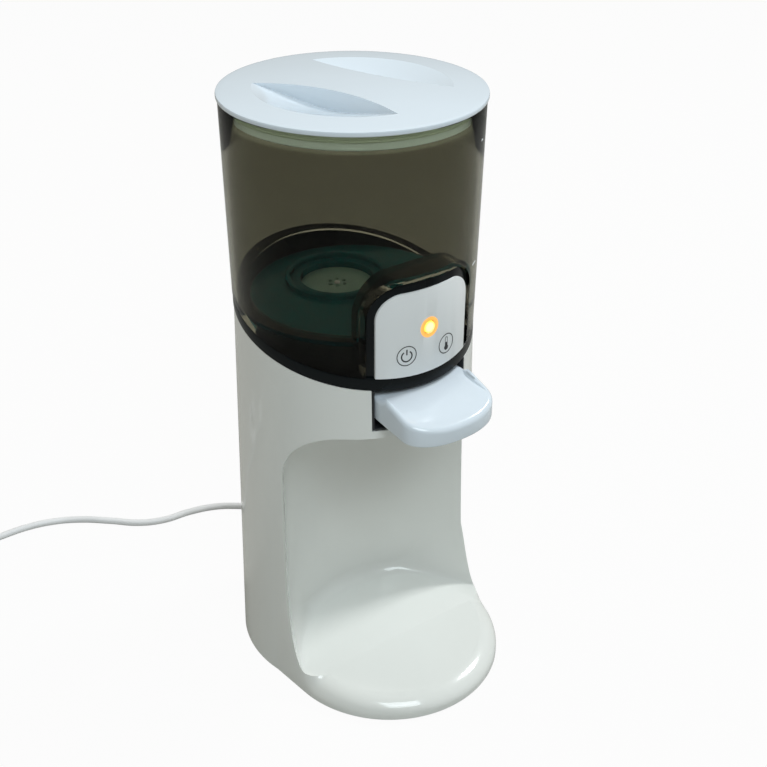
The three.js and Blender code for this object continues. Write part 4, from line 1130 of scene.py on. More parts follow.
        def heel_ring(turn: float) -> list[Vector]:
            """One ring of the rounding between the floor and the wall.

            Args:
                turn: How far round the heel it lies, in radians.

            Returns:
                Its points.
            """
            row = []
            for angle in turns:
                aside = math.acos(min(1.0, math.sin(angle)))
                share = smooth_step(self.heel_near, self.heel_far, aside)
                heel_rise = mix(self.heel_back, self.heel_side, share) + grow
                reach = radius - (self.heel_back + grow) * (1 - math.sin(turn))
                y = centre + reach * math.sin(angle)
                z = self.pad(y) - self.overlap - grow + heel_rise * (1 - math.cos(turn))
                row.append(at(reach * math.cos(angle), y, z))
            return row

        def dome_ring(turn: float) -> list[Vector]:
            """One ring of the dome.

            Args:
                turn: How far round the dome's edge it lies, in radians.

            Returns:
                Its points.
            """
            reach = radius - dome * (1 - math.cos(turn))
            height = self.bay_top + grow - dome * (1 - math.sin(turn))
            return [at(reach * math.cos(angle), centre + reach * math.sin(angle), height) for angle in turns]

        rings = [heel_ring(k / self.heel_steps * math.pi / 2) for k in range(self.heel_steps + 1)]
        rings += [dome_ring(k / self.dome_steps * math.pi / 2) for k in range(self.dome_steps + 1)]
        return rings

    def solid(self, name: str, inset: float, low: float) -> Piece:
        """The tower and its foot as one solid, the bay cut out.

        Args:
            name: The name of the new solid.
            inset: How far inside the outer skin it lies.
            low: Its lowest height.

        Returns:
            The solid.
        """
        high = self.solid_top
        profile = [(0, low), (self.radius(low) - inset, low), (self.radius(high) - inset, high), (0, high)]
        tower = Bench.turned(name, profile, steps=160)
        Bench.combine(tower, Bench.raised(name + "_foot", self.foot_rings(inset, low)), Merge.ADD)
        Bench.combine(tower, Bench.raised(name + "_bay", self.bay_rings(inset)), Merge.CUT)
        return tower

    def build_shell(self) -> None:
        """Builds the shell: outer solid, hollow, rim and openings."""
        shell = self.solid("tower_skin", 0, self.shell_low)
        Bench.below_tilt(shell, RIM_HEIGHT)
        cord_start, cord_end = at(self.cord_x, 50, self.cord_z), at(self.cord_x, 75, self.cord_z)
        cuts = (
            self.solid("tower_hollow", self.wall, self.shell_low - self.hem),
            Bench.block("slot_cut", at(-self.slot_half, -140, self.slot_low), at(self.slot_half, -31, 230)),
            Bench.drum("spout_cut", self.spout_hole, at(0, self.spout_y, 150), at(0, self.spout_y, 180)),
            Bench.drum("cord_cut", self.cord_hole, cord_start, cord_end),
        )
        for cut in cuts:
            Bench.combine(shell, cut, Merge.CUT)
        Bench.tidy(shell, 40)
        self.seat(shell, Body.TOWER, Finish.WHITE_SHELL, "tower_shell")


@dataclass
class Cord(Assembly):
    """Mains cord from its strain relief to the plug, with the unseen length wound and tied."""

    diameter: float = 4.4
    length: float = 1.18
    exit: Point = (14.0, 86.4, 9.0)
    places: tuple[Point, ...] = (
        (13.6, 97, 8.5), (12, 107, 6.6), (9, 117, 4.2), (4, 126.6, 2.9), (-4.6, 135.4, 2.3),
        (-15.3, 142.2, 2.3), (-32.1, 147.4, 2.3), (-50.5, 149.6, 2.3), (-65.2, 156.4, 2.3),
        (-80.1, 170.2, 2.3), (-95.5, 183.2, 2.3), (-112.7, 192.3, 2.3), (-128.8, 196.2, 2.3),
        (-145.8, 196.9, 2.3), (-160, 196.9, 2.5), (-171.2, 196.9, 3.2))
    coil_x: float = -180.0
    line_y: float = 196.9
    coil_low: float = 3.3
    coil_inner: float = 16.5
    pitch: float = 4.9
    half_turns: float = 3.0
    climb_start: float = 2.75
    climb: float = 0.5
    steps: int = 24
    tail: float = 30.0
    relief_low: float = 57.4
    relief_lip: float = 5.5
    relief_radius: float = 4.0
    relief_tip: float = 2.8
    relief_length: float = 30.0
    relief_collar: float = 9.6
    relief_ribs: int = 6
    rib_line: tuple[Corner, ...] = ((0.04, 0.55), (0.34, 0.55), (0.42, 0.1), (0.5, 0), (0.9, 0), (0.98, 0.1))
    play: float = 0.08
    round_points: int = 48
    plug_end: float = -210.3
    plug_relief: float = 20.0
    plug_length: float = 26.0
    plug_half: float = 12.5
    plug_neck: float = 4.4
    plug_ribs: int = 6
    plug_pitch: float = 3.05
    groove_line: tuple[Corner, ...] = ((0, 0.0), (0.9, 0.0), (1.1, 0.5), (1.9, 0.5), (2.1, 0.0))
    squareness: float = 0.6
    blade_spread: float = 6.35
    blade_half: float = 3.2
    blade_thickness: float = 1.5
    blade_length: float = 17.0
    blade_root: float = 5.0
    blade_hole: float = 1.5
    blade_hole_in: float = 4.0
    blade_room: float = 0.3

    def build(self) -> None:
        cord = self.build_line()
        self.seat(cord, Body.TOWER, Finish.WHITE_CORD, "power_cord", "cord_coil")
        self.build_relief()
        with_pieces = [self.build_plug(), *self.build_blades()]
        with_pieces.append(self.smooth_node("cord_tie", Finish.DARK_RUBBER, 0.25))

    @property
    def plug_z(self) -> float:
        """Height of the plug's middle, level with the coil's upper turns."""
        return self.coil_low + self.pitch

    @property
    def plug_face(self) -> float:
        """Where the face that the blades stand on lies."""
        return self.plug_end - self.plug_relief - self.plug_length

    @property
    def mouth(self) -> float:
        """The radius of the hole that the cord runs through, in both reliefs."""
        return self.diameter / 2 + self.play

    def route(self) -> list[Vector]:
        """Runs the cord's free stretch, the coil that spirals in and out again, and the tail.

        Returns:
            Every point of the cord.
        """
        points = [at(*self.exit)] + [at(*place) for place in self.places]
        points.append(at(self.coil_x + self.diameter, self.line_y, self.coil_low))
        outer = self.coil_inner + self.pitch * self.half_turns
        middle_y = self.line_y + outer
        for k in range(int(2 * self.half_turns * self.steps) + 1):
            turn = k / self.steps
            reach = self.coil_inner + self.pitch * abs(turn - self.half_turns)
            angle = -math.pi / 2 - turn * FULL_TURN
            rise = smooth_step(self.climb_start, self.climb_start + self.climb, turn)
            points.append(at(self.coil_x + reach * math.cos(angle), middle_y + reach * math.sin(angle),
                             self.coil_low + self.pitch * rise))
        for share in (1 / 3, 2 / 3, 1):
            points.append(at(self.coil_x - self.tail * share, self.line_y, self.plug_z))
        points.append(at(self.plug_end - 2, self.line_y, self.plug_z))
        return points

    def build_line(self) -> Piece:
        """Draws the cord as one smooth round curve.

        Returns:
            The curve.
        """
        data = bpy.data.curves.new("mains_cord", "CURVE")
        data.dimensions = "3D"
        data.bevel_depth = self.diameter / 2 * MM
        data.bevel_resolution = 5
        data.resolution_u = 6
        data.use_fill_caps = True
        line = data.splines.new("BEZIER")
        points = self.route()
        line.bezier_points.add(len(points) - 1)
        for knot, place in zip(line.bezier_points, points):
            knot.co = place
            knot.handle_left_type = knot.handle_right_type = "AUTO"
        return Bench.bring("mains_cord", data)

    def build_relief(self) -> None:
        """Builds the tapered strain relief with its ribs and the lip inside the shell."""
        low, wide = self.relief_low, self.relief_radius
        taper_start = low + self.relief_collar
        end = low + self.relief_length
        profile = [(low, self.relief_lip - 0.3), (low + 0.3, self.relief_lip), (low + 1.7, self.relief_lip),
                   (low + 2, wide), (taper_start - 0.4, wide)]
        width = (end - 1.2 - taper_start) / self.relief_ribs
        for k in range(self.relief_ribs):
            for share, drop in self.rib_line:
                y = taper_start + (k + share) * width
                reach = mix(wide, self.relief_tip, (y - taper_start) / (end - taper_start))
                profile.append((y, reach - drop))
        profile += [(end - 0.5, self.relief_tip), (end, self.relief_tip - 0.3), (end, self.mouth),
                    (end - 1.4, self.mouth)]
        x, _, z = self.exit
        rings = [self.across(Vector((0, 1, 0)), Vector((x, y, z)), reach, reach, 1) for y, reach in profile]
        relief = Bench.raised("strain_relief_fine", rings)
        Bench.tidy(relief, 45, FINE_WELD)
        self.seat(relief, Body.TOWER, Finish.WHITE_CORD, "strain_relief")

    def across(self, along: Vector, middle: Vector, wide: float, high: float, power: float) -> list[Vector]:
        """One ring square to the x or y direction.

        Args:
            along: The direction that the ring looks in.
            middle: Its middle, in millimetres from the tower's axis.
            wide: Its half width.
            high: Its half height.
            power: 1 for an ellipse, and less for a squarer one.

        Returns:
            Its points.
        """
        side = Vector((0, 0, 1)).cross(along)
        ring = []
        for k in range(self.round_points):
            turn = k / self.round_points * FULL_TURN
            out = wide * math.copysign(abs(math.cos(turn)) ** power, math.cos(turn))
            up = high * math.copysign(abs(math.sin(turn)) ** power, math.sin(turn))
            place = middle + side * out + Vector((0, 0, up))
            ring.append(at(*place))
        return ring

    def build_plug(self) -> Piece:
        """Builds the moulded plug with its own relief and the slots for its blades.

        Returns:
            The plug.
        """
        face, half, high = self.plug_face, self.plug_half, self.plug_z
        neck = self.plug_length
        end = neck + self.plug_relief
        grip = self.diameter / 2 + 0.5
        profile = [
            (0, half - 1, high - 1), (0.3, half - 0.35, high - 0.35), (1, half, high), (14, half, high),
            (15, half - 0.9, high - 0.5), (16, half - 0.9, high - 0.5), (17, half - 0.2, high - 0.1),
            (18.2, half - 0.4, high - 0.3), (21, 0.84 * half, 0.93 * high), (23.4, 0.7 * half, 0.85 * high),
            (25, 0.5 * half, 0.68 * high), (neck, self.plug_neck, self.plug_neck)]
        for k in range(self.plug_ribs):
            start = neck + 1 + k * self.plug_pitch
            for step, drop in self.groove_line:
                reach = mix(self.plug_neck, grip, (start + step - neck) / self.plug_relief) - drop
                profile.append((start + step, reach, reach))
        mouth = self.mouth
        profile += [(end - 0.1, grip, grip), (end, mouth, mouth), (end - 1.6, mouth, mouth)]
        rings = []
        for x, wide, tall in profile:
            power = mix(self.squareness, 1, smooth_step(18, neck, x))
            middle = Vector((face + x, self.line_y, self.plug_z))
            rings.append(self.across(Vector((1, 0, 0)), middle, wide, tall, power))
        plug = Bench.raised("plug_body_fine", rings)
        for side in (1, -1):
            slot_end = face + self.blade_root + self.blade_room
            slot = self.blade_block("slot", side, face - 1, slot_end, self.blade_room)
            Bench.combine(plug, slot, Merge.CUT)
        Bench.tidy(plug, 45, FINE_WELD)
        return self.seat(plug, Body.TOWER, Finish.WHITE_CORD, "plug_body")

    def blade_block(self, name: str, side: int, start: float, end: float, grow: float) -> Piece:
        """A block round one blade.

        Args:
            name: The name of the new object.
            side: 1 for the left blade and -1 for the right one.
            start: Its lowest x.
            end: Its highest x.
            grow: How far it stands out round the blade.

        Returns:
            The block.
        """
        y = self.line_y + side * self.blade_spread
        half = self.blade_thickness / 2 + grow
        low = at(start, y - half, self.plug_z - self.blade_half - grow)
        return Bench.block(name, low, at(end, y + half, self.plug_z + self.blade_half + grow))

    def build_blades(self) -> list[Piece]:
        """Builds the two flat blades with their rounded edges and holes.

        Returns:
            The blades.
        """
        tip = self.plug_face - self.blade_length
        blades = []
        for name, side in (("plug_blade_left", 1), ("plug_blade_right", -1)):
            blade = self.blade_block(f"{name}_fine", side, tip, self.plug_face + self.blade_root, 0)
            x = tip + self.blade_hole_in
            y = self.line_y + side * self.blade_spread
            left, right = at(x, y - 5, self.plug_z), at(x, y + 5, self.plug_z)
            hole = Bench.drum("hole", self.blade_hole, left, right, 32)
            Bench.combine(blade, hole, Merge.CUT)
            Bench.soften(blade, 0.35, 3, 60)
            Bench.tidy(blade, 40, FINE_WELD)
            blades.append(self.seat(blade, Body.TOWER, Finish.PLUG_BRASS, name))
        return blades


@dataclass(frozen=True)
class PodShape:
    """Front outline of the control pod, for which the seat and the tank leave room."""

    half: float = 31.0
    top: float = 248.0
    low: float = 191.3
    corner: float = 16.4
    rear: float = -48.7

    def outline(self, grow: float, steps: int = 16) -> list[Corner]:
        """The outline with two round upper corners, grown by a distance on three sides.

        Args:
            grow: How much further out it lies.
            steps: How many steps each corner has.

        Returns:
            Its x and z, in millimetres.
        """
        corner = self.corner + grow
        middle_x, middle_z = self.half - self.corner, self.top - self.corner
        points = [(-self.half - grow, self.low), (self.half + grow, self.low)]
        for k in range(2 * steps + 1):
            turn = k / (2 * steps) * math.pi
            side = 0 if k == steps else math.copysign(1, math.cos(turn))
            points.append((side * middle_x + corner * math.cos(turn), middle_z + corner * math.sin(turn)))
        return points

    def block(self, name: str, grow: float) -> Piece:
        """The pod's outline as a solid that runs out through the front of the tower."""
        return Bench.prism(name, self.outline(grow), self.rear + grow)


@dataclass
class Seat(Assembly):
    """Black seat on the tilted rim: the band, a plug inside the shell, the plinth and the water cup."""

    pod: PodShape = PodShape()
    band: float = 62.4
    bore: float = 57.0
    rise: float = 6.5
    ledge: float = 2.5
    plug: float = 58.9
    plug_depth: float = 9.0
    plinth: float = 53.7
    plinth_top: float = 216.4
    plate: float = 2.5
    socket: float = 22.5
    socket_floor: float = 210.7
    cup: float = 13.0
    cup_floor: float = 198.0
    cup_wall: float = 2.5
    rod_hole: float = 2.3
    hose: float = 3.0
    lever_half: float = 29.6
    lever_rear: float = -38.2
    alcove: float = 3.4
    edge: float = 0.6
    hair: float = 0.1
    nipple_root: float = 0.5
    nipple_tip: float = 4.0

    def build(self) -> None:
        """Builds and seats the tray."""
        tray = Bench.raised("seat_tray_fine", self.rings())
        mouth = Bench.disc("mouth", self.socket + self.plate / 2, 190, 240, OUTLET_Y)
        Bench.combine(tray, mouth, Merge.CUT)
        lever_end = at(self.lever_half, self.lever_rear, 240)
        lever = Bench.block("lever_room", at(-self.lever_half, -120, 100), lever_end)
        Bench.below_tilt(lever, RIM_HEIGHT - self.hair)
        Bench.combine(tray, lever, Merge.CUT)
        alcove = self.pod.block("alcove", self.alcove)
        Bench.below_tilt(alcove, RIM_HEIGHT + self.ledge + 0.05, keep_above=True)
        Bench.combine(alcove, Bench.disc("near", self.bore + 0.3, 150, 260), Merge.SHARE)
        Bench.combine(tray, alcove, Merge.CUT)
        Bench.combine(tray, self.build_cup(), Merge.ADD)
        Bench.tidy(tray, 35, FINE_WELD)
        self.seat(tray, Body.TOWER, Finish.BLACK_PLASTIC, "seat_tray")

    def rings(self) -> list[list[Vector]]:
        """Rings of the tray's skin, from the plinth's top out over the band and in again below.

        Returns:
            The rings, in order along the skin.
        """
        tilt = math.tan(RIM_TILT)
        top, under = self.plinth_top, self.plinth_top - self.plate
        edge, quarter, hair = self.edge, self.edge / 4, self.hair
        shoulder = top - edge
        inner = self.plinth - self.plate

        def above(offset: float, most: float = math.inf) -> HeightAt:
            """Heights so far above the tilted rim, but never over a level."""
            return lambda y: min(most, RIM_HEIGHT + offset + tilt * y)

        corners = [
            (self.plinth - edge, top), (self.plinth - quarter, top - quarter),
            (self.plinth, above(self.ledge, shoulder)), (self.bore, above(self.ledge, shoulder)),
            (self.bore, above(self.rise - edge)), (self.bore + quarter, above(self.rise - quarter)),
            (self.bore + edge, above(self.rise)), (self.band - edge, above(self.rise)),
            (self.band - quarter, above(self.rise - quarter)), (self.band, above(self.rise - edge)),
            (self.band, above(SEAM)), (self.plug, above(SEAM)), (self.plug, above(-self.plug_depth)),
            (self.bore + hair, above(-self.plug_depth)), (self.bore + hair, above(0, under)),
            (inner, above(0, under)), (inner - hair, under),
        ]
        return [Bench.hoop(radius, height) for radius, height in corners]

    def build_cup(self) -> Piece:
        """Builds the water cup with its socket for the outlet and its hose nipple.

        Returns:
            The cup.
        """
        floor = self.cup_floor - self.cup_wall
        outer = self.cup + self.cup_wall
        sleeve = self.socket + self.plate
        sleeve_low = self.socket_floor - self.plate
        top = self.plinth_top - SEAM
        profile = [(self.rod_hole, floor), (outer, floor), (outer, sleeve_low), (sleeve, sleeve_low),
                   (sleeve, top), (self.socket, top), (self.socket, self.socket_floor),
                   (self.cup, self.socket_floor), (self.cup, self.cup_floor), (self.rod_hole, self.cup_floor)]
        cup = Bench.turned("cup", profile, OUTLET_Y, 64, closed=True)
        start, end = OUTLET_Y + self.cup + self.nipple_root, OUTLET_Y + self.cup + self.nipple_tip
        height = self.cup_floor + self.hose
        nipple = Bench.drum("nipple", self.hose, at(0, start, height), at(0, end, height), 32)
        Bench.combine(cup, nipple, Merge.ADD)
        bore = Bench.drum("nipple_bore", self.hose / 2, at(0, OUTLET_Y, height), at(0, end + 2, height), 24)
        Bench.combine(cup, bore, Merge.CUT)
        return cup


@dataclass
class Tank(Assembly):
    """Smoke tinted tank with its alcove round the pod, and the outlet valve in its floor."""

    pod: PodShape = PodShape()
    low_radius: float = 62.4
    top_radius: float = 64.2
    top: float = 321.2
    wall: float = 2.4
    spigot: float = 56.7
    step: float = 6.8
    ledge: float = 2.8
    floor: float = 219.5
    floor_under: float = 217.0
    well: float = 19.4
    well_floor: float = 213.5
    well_under: float = 211.0
    neck: float = 10.3
    ring_in: float = 24.1
    ring_out: float = 27.5
    ring_top: float = 222.5
    clearance: float = 0.7
    lip: float = 0.7
    valve_travel: float = 3.3
    upper_tick: Point = (305.3, 53.3, 55.5)
    lower_tick: Point = (242.4, 52.7, 57.5)
    tick_line: tuple[Corner, ...] = ((0.02, -0.35), (0.14, -0.35), (0.14, 0.35), (0.02, 0.35))
    tick_steps: int = 4

    def build(self) -> None:
        """Builds and seats the tank, its level ticks and the valve."""
        self.build_shell()
        self.build_ticks()
        self.smooth_node("outlet_cap", Finish.TRANSLUCENT, 0.25, Body.TANK)
        self.smooth_node("valve_plunger", Finish.WHITE_INNER, 0.2, Body.PLUNGER)
        self.sprung_node("valve_spring", Body.TANK, "plunger_lift", self.valve_travel, fixed_high=True)
        self.smooth_node("outlet_seal", Finish.DARK_RUBBER, 0.3, Body.TANK)

    def radius(self, z: float) -> float:
        """The tank's outer radius at a height."""
        return mix(self.low_radius, self.top_radius, (z - RIM_HEIGHT) / (self.top - RIM_HEIGHT))

    def rings(self) -> list[list[Vector]]:
        """Rings of the tank's skin, from its floor up the inside, over the lip and down the outside.

        Returns:
            The rings, in order along the skin.
        """
        tilt = math.tan(RIM_TILT)
        slim = self.spigot - self.wall
        lip, quarter = self.lip, self.lip / 4

        def step(y: float) -> float:
            """Height of the step over the band at y."""
            return RIM_HEIGHT + self.step + tilt * y

        def shelf(y: float) -> float:
            """Height of the step's upper face inside the tank."""
            return max(self.floor, step(y) + self.wall)

        def foot(y: float) -> float:
            """Height of the spigot's lower edge."""
            return min(self.floor_under - 0.3, RIM_HEIGHT + self.ledge + tilt * y)

        def ceiling(y: float) -> float:
            """Height of the step's upper face under the tank's floor."""
            return min(self.floor_under, step(y) + self.wall)

        rings = [Bench.hoop(slim, self.floor), Bench.hoop(slim, shelf)]
        rings.append(self.wall_ring(shelf, self.wall))
        under_lip = self.top - lip
        for share in (0.25, 0.5, 0.75):
            rings.append(self.wall_ring(lambda y, share=share: mix(shelf(y), under_lip, share), self.wall))
        for inset, drop in ((self.wall, lip), (self.wall - quarter, quarter), (self.wall - lip, 0), (lip, 0),
                            (quarter, quarter), (0, lip)):
            rings.append(self.wall_ring(lambda y, drop=drop: self.top - drop, inset))
        for share in (0.75, 0.5, 0.25, 0):
            rings.append(self.wall_ring(lambda y, share=share: mix(step(y), under_lip, share), 0))
        rings += [Bench.hoop(self.spigot, step), Bench.hoop(self.spigot, foot), Bench.hoop(slim, foot)]
        rings.append(Bench.hoop(slim, ceiling))
        pocket = []
        for place in Bench.hoop(1, 0):
            direction = Vector((place.x, place.y - TOWER_Y, 0)).normalized()
            room = self.floor_under - ceiling(direction.y * self.radius(self.floor_under))
            reach = mix(slim, self.radius(self.floor_under) - self.wall, min(1.0, max(0.0, room)))
            y = direction.y * reach
            pocket.append((direction, reach, ceiling(y)))
        rings.append([at(way.x * reach, way.y * reach, height) for way, reach, height in pocket])
        rings.append([at(way.x * reach, way.y * reach, self.floor_under) for way, reach, _ in pocket])
        rings.append(Bench.hoop(slim - 0.5, self.floor_under))
        return rings

    def wall_ring(self, height: HeightAt, inset: float) -> list[Vector]:
        """One ring of the flared wall.

        Args:
            height: The height at each y.
            inset: How far inside the outer skin it lies.

        Returns:
            Its points.
        """
        ring = []
        for place in Bench.hoop(self.low_radius, 0):
            direction = Vector((place.x, place.y - TOWER_Y, 0)).normalized()
            level = height(direction.y * self.low_radius)
            reach = self.radius(level) - inset
            ring.append(at(direction.x * reach, direction.y * reach, level))
        return ring

    def build_shell(self) -> None:
        """Builds the tank: skin, outlet well, raised ring and the alcove for the pod."""
        tank = Bench.raised("tank_fine", self.rings())
        hole = Bench.disc("hole", self.well + self.wall / 2, 190, 240, OUTLET_Y, 96)
        Bench.combine(tank, hole, Merge.CUT)
        outer = self.well + self.wall
        rim = self.floor + 0.2
        well = [(self.neck, self.well_under), (outer, self.well_under), (outer, rim), (self.well, rim),
                (self.well, self.well_floor), (self.neck, self.well_floor)]
        Bench.combine(tank, Bench.turned("well", well, OUTLET_Y, 90, closed=True), Merge.ADD)
        sunk = (self.floor + self.floor_under) / 2
        start, end, top = self.ring_in, self.ring_out, self.ring_top
        ring = [(start, sunk), (end, sunk), (end, top - 1), (end - 1, top), (start + 1, top),
                (start, top - 1)]
        Bench.combine(tank, Bench.turned("ring", ring, OUTLET_Y, 100, closed=True), Merge.ADD)
        skin = self.pod.block("alcove_skin", self.clearance + self.wall)
        middle = self.low_radius - self.wall / 2
        core = [(0, 150), (middle, 150), (middle + 0.8, 262), (0, 262)]
        Bench.combine(skin, Bench.turned("core", core, steps=150), Merge.SHARE)
        Bench.below_tilt(skin, RIM_HEIGHT + self.step + self.wall / 2, keep_above=True)
        Bench.combine(tank, skin, Merge.ADD)
        Bench.combine(tank, self.pod.block("alcove", self.clearance), Merge.CUT)
        Bench.tidy(tank, 35, FINE_WELD)
        self.seat(tank, Body.TANK, Finish.SMOKE_TINT, "tank")

    def build_ticks(self) -> None:
        """Prints two plain level ticks on the tank's side."""
        piece = Bench.join([self.tick(*self.upper_tick), self.tick(*self.lower_tick)])
        piece.name = "level_ticks"
        self.seat(piece, Body.TANK, Finish.WHITE_LABEL)

    def tick(self, height: float, start: float, end: float) -> Piece:
        """Builds one raised tick.

        Args:
            height: Its height, in millimetres.
            start: Where it starts, in degrees from the right side towards the front.
            end: Where it ends.

        Returns:
            The tick.
        """
        rings = []
        for k in range(self.tick_steps + 1):
            angle = math.radians(-mix(start, end, k / self.tick_steps))
            ring = []
            for out, up in self.tick_line:
                reach = self.radius(height) + out
                ring.append(at(reach * math.cos(angle), reach * math.sin(angle), height + up))
            rings.append(ring)
        return Bench.raised("tick", rings)


@dataclass
class Lid(Assembly):
    """White lid with two finger scoops beside its ridge, and its seal."""

    radius: float = 65.0
    low: float = 321.5
    edge: float = 2.4
    dome: float = 2.8
    wall: float = 2.4
    skirt: float = 60.7
    skirt_low: float = 313.9
    scoop: float = 47.97
    scoop_depth: float = 8.4
    waist: float = 16.0
    ridge_end: float = 24.5
    turn: float = math.radians(20)
    seal_in: float = 61.0
    seal_out: float = 61.5
    seal_low: float = 3.8
    seal_high: float = 0.3
    seal_web: float = 0.2
    lips: int = 3
    round_off: float = 0.7
    skirt_round: float = 0.4
    dome_steps: int = 24
    scoop_points: int = 48

    def build(self) -> None:
        """Builds and seats the lid and its seal."""
        lid = Bench.raised("lid_fine", self.rings())
        for side in (1, -1):
            pocket = self.scoop_solid(side, self.wall)
            dome = [corner for corner in self.dome_line(self.wall / 2, 8) if corner[0] < self.bore + 1]
            inside = [(0, 300), (self.bore + 1, 300), *dome]
            Bench.combine(pocket, Bench.turned("inside", inside, steps=150), Merge.SHARE)
            Bench.combine(lid, pocket, Merge.ADD)
        for side in (1, -1):
            Bench.combine(lid, self.scoop_solid(side, 0), Merge.CUT)
        Bench.soften(lid, 0.9, 4, 16)
        Bench.tidy(lid, 50, FINE_WELD)
        Bench.even(lid)
        self.seat(lid, Body.LID, Finish.WHITE_GLOSS, "lid")
        self.build_seal()

    @property
    def bore(self) -> float:
        """The radius inside the skirt."""
        return self.skirt - self.wall

    def dome_line(self, drop: float, steps: int) -> list[Corner]:
        """The dome's profile so far under its outer skin, from its edge to the axis.

        Args:
            drop: How far under the skin.
            steps: How many steps it has.

        Returns:
            Radius and height of each corner.
        """
        reach = self.radius - drop
        high = self.low + self.edge - drop
        shares = [k / steps for k in range(steps + 1)]
        return [(reach * (1 - share), high + self.dome * (1 - (1 - share) ** 2)) for share in shares]

    def rings(self) -> list[list[Vector]]:
        """Rings of the lid's skin, from its crown out to the edge and in again below.

        Returns:
            The rings, in order along the skin.
        """
        top = [corner for corner in reversed(self.dome_line(0, self.dome_steps)) if corner[0] > 0]
        below = [corner for corner in self.dome_line(self.wall, self.dome_steps) if 0 < corner[0] < self.bore]
        reach, low, high = self.radius, self.low, self.low + self.edge
        full, quarter, small = self.round_off, self.round_off / 4, self.skirt_round
        corners = top[:-1] + [
            (reach - full, high + 0.03), (reach - quarter, high - quarter), (reach, high - full),
            (reach, low + full), (reach - quarter, low + quarter), (reach - full, low),
            (self.skirt, low), (self.skirt, self.skirt_low + small), (self.skirt - small, self.skirt_low),
            (self.bore + small, self.skirt_low), (self.bore, self.skirt_low + small)] + below
        return [Bench.hoop(radius, height, steps=192) for radius, height in corners]

    def scoop_solid(self, side: int, grow: float) -> Piece:
        """One scoop as a solid: a shallow dish on one side of the ridge.

        Args:
            side: 1 or -1.
            grow: How far outside its skin.

        Returns:
            The solid, turned with the lid.
        """
        crown = self.low + self.edge + self.dome
        rim = crown - self.dome * (self.scoop / self.radius) ** 2
        fall = self.scoop_depth / (self.scoop - self.waist)
        reach = self.scoop + grow if grow else self.radius
        bottom = rim - self.scoop * fall - grow
        profile = [(0, bottom), (reach, bottom + reach * fall), (reach, 345), (0, 345)]
        dish = Bench.turned("dish", profile, steps=160)
        sag = self.ridge_end - self.waist
        half = math.sqrt(self.scoop ** 2 - self.ridge_end ** 2)
        curve = (half ** 2 + sag ** 2) / (2 * sag)
        sweep = 1.25 * math.asin(half / curve)
        outline = []
        for k in range(self.scoop_points + 1):
            turn = mix(-sweep, sweep, k / self.scoop_points)
            outline.append((self.waist - grow + curve * (1 - math.cos(turn)), curve * math.sin(turn)))
        outline += [(2 * self.radius, self.radius), (2 * self.radius, -self.radius)]
        angle = self.turn + (0 if side > 0 else math.pi)
        across, along = math.cos(angle), math.sin(angle)
        rings = [[at(x * across - y * along, x * along + y * across, height) for x, y in outline]
                 for height in (300, 350)]
        half_space = Bench.raised("scoop", rings)
        Bench.combine(half_space, dish, Merge.SHARE)
        if not grow:
            Bench.soften(half_space, 2.6, 5, 30)
        return half_space

    def build_seal(self) -> None:
        """Turns the seal with a row of lips."""
        low, high = self.low - self.seal_low, self.low - self.seal_high
        web = self.seal_in + self.seal_web
        corners = [(self.seal_in, low), (self.seal_in, high)]
        for k in range(self.lips):
            top = mix(high, low, k / self.lips)
            foot = mix(high, low, (k + 1) / self.lips)
            corners += [(web, top), (self.seal_out, mix(top, foot, 0.5)), (web, foot)]
        seal = Bench.turned("lid_seal_fine", corners, steps=160, closed=True)
        Bench.tidy(seal, 30, FINE_WELD)
        self.seat(seal, Body.LID, Finish.PALE_SEAL, "lid_seal")


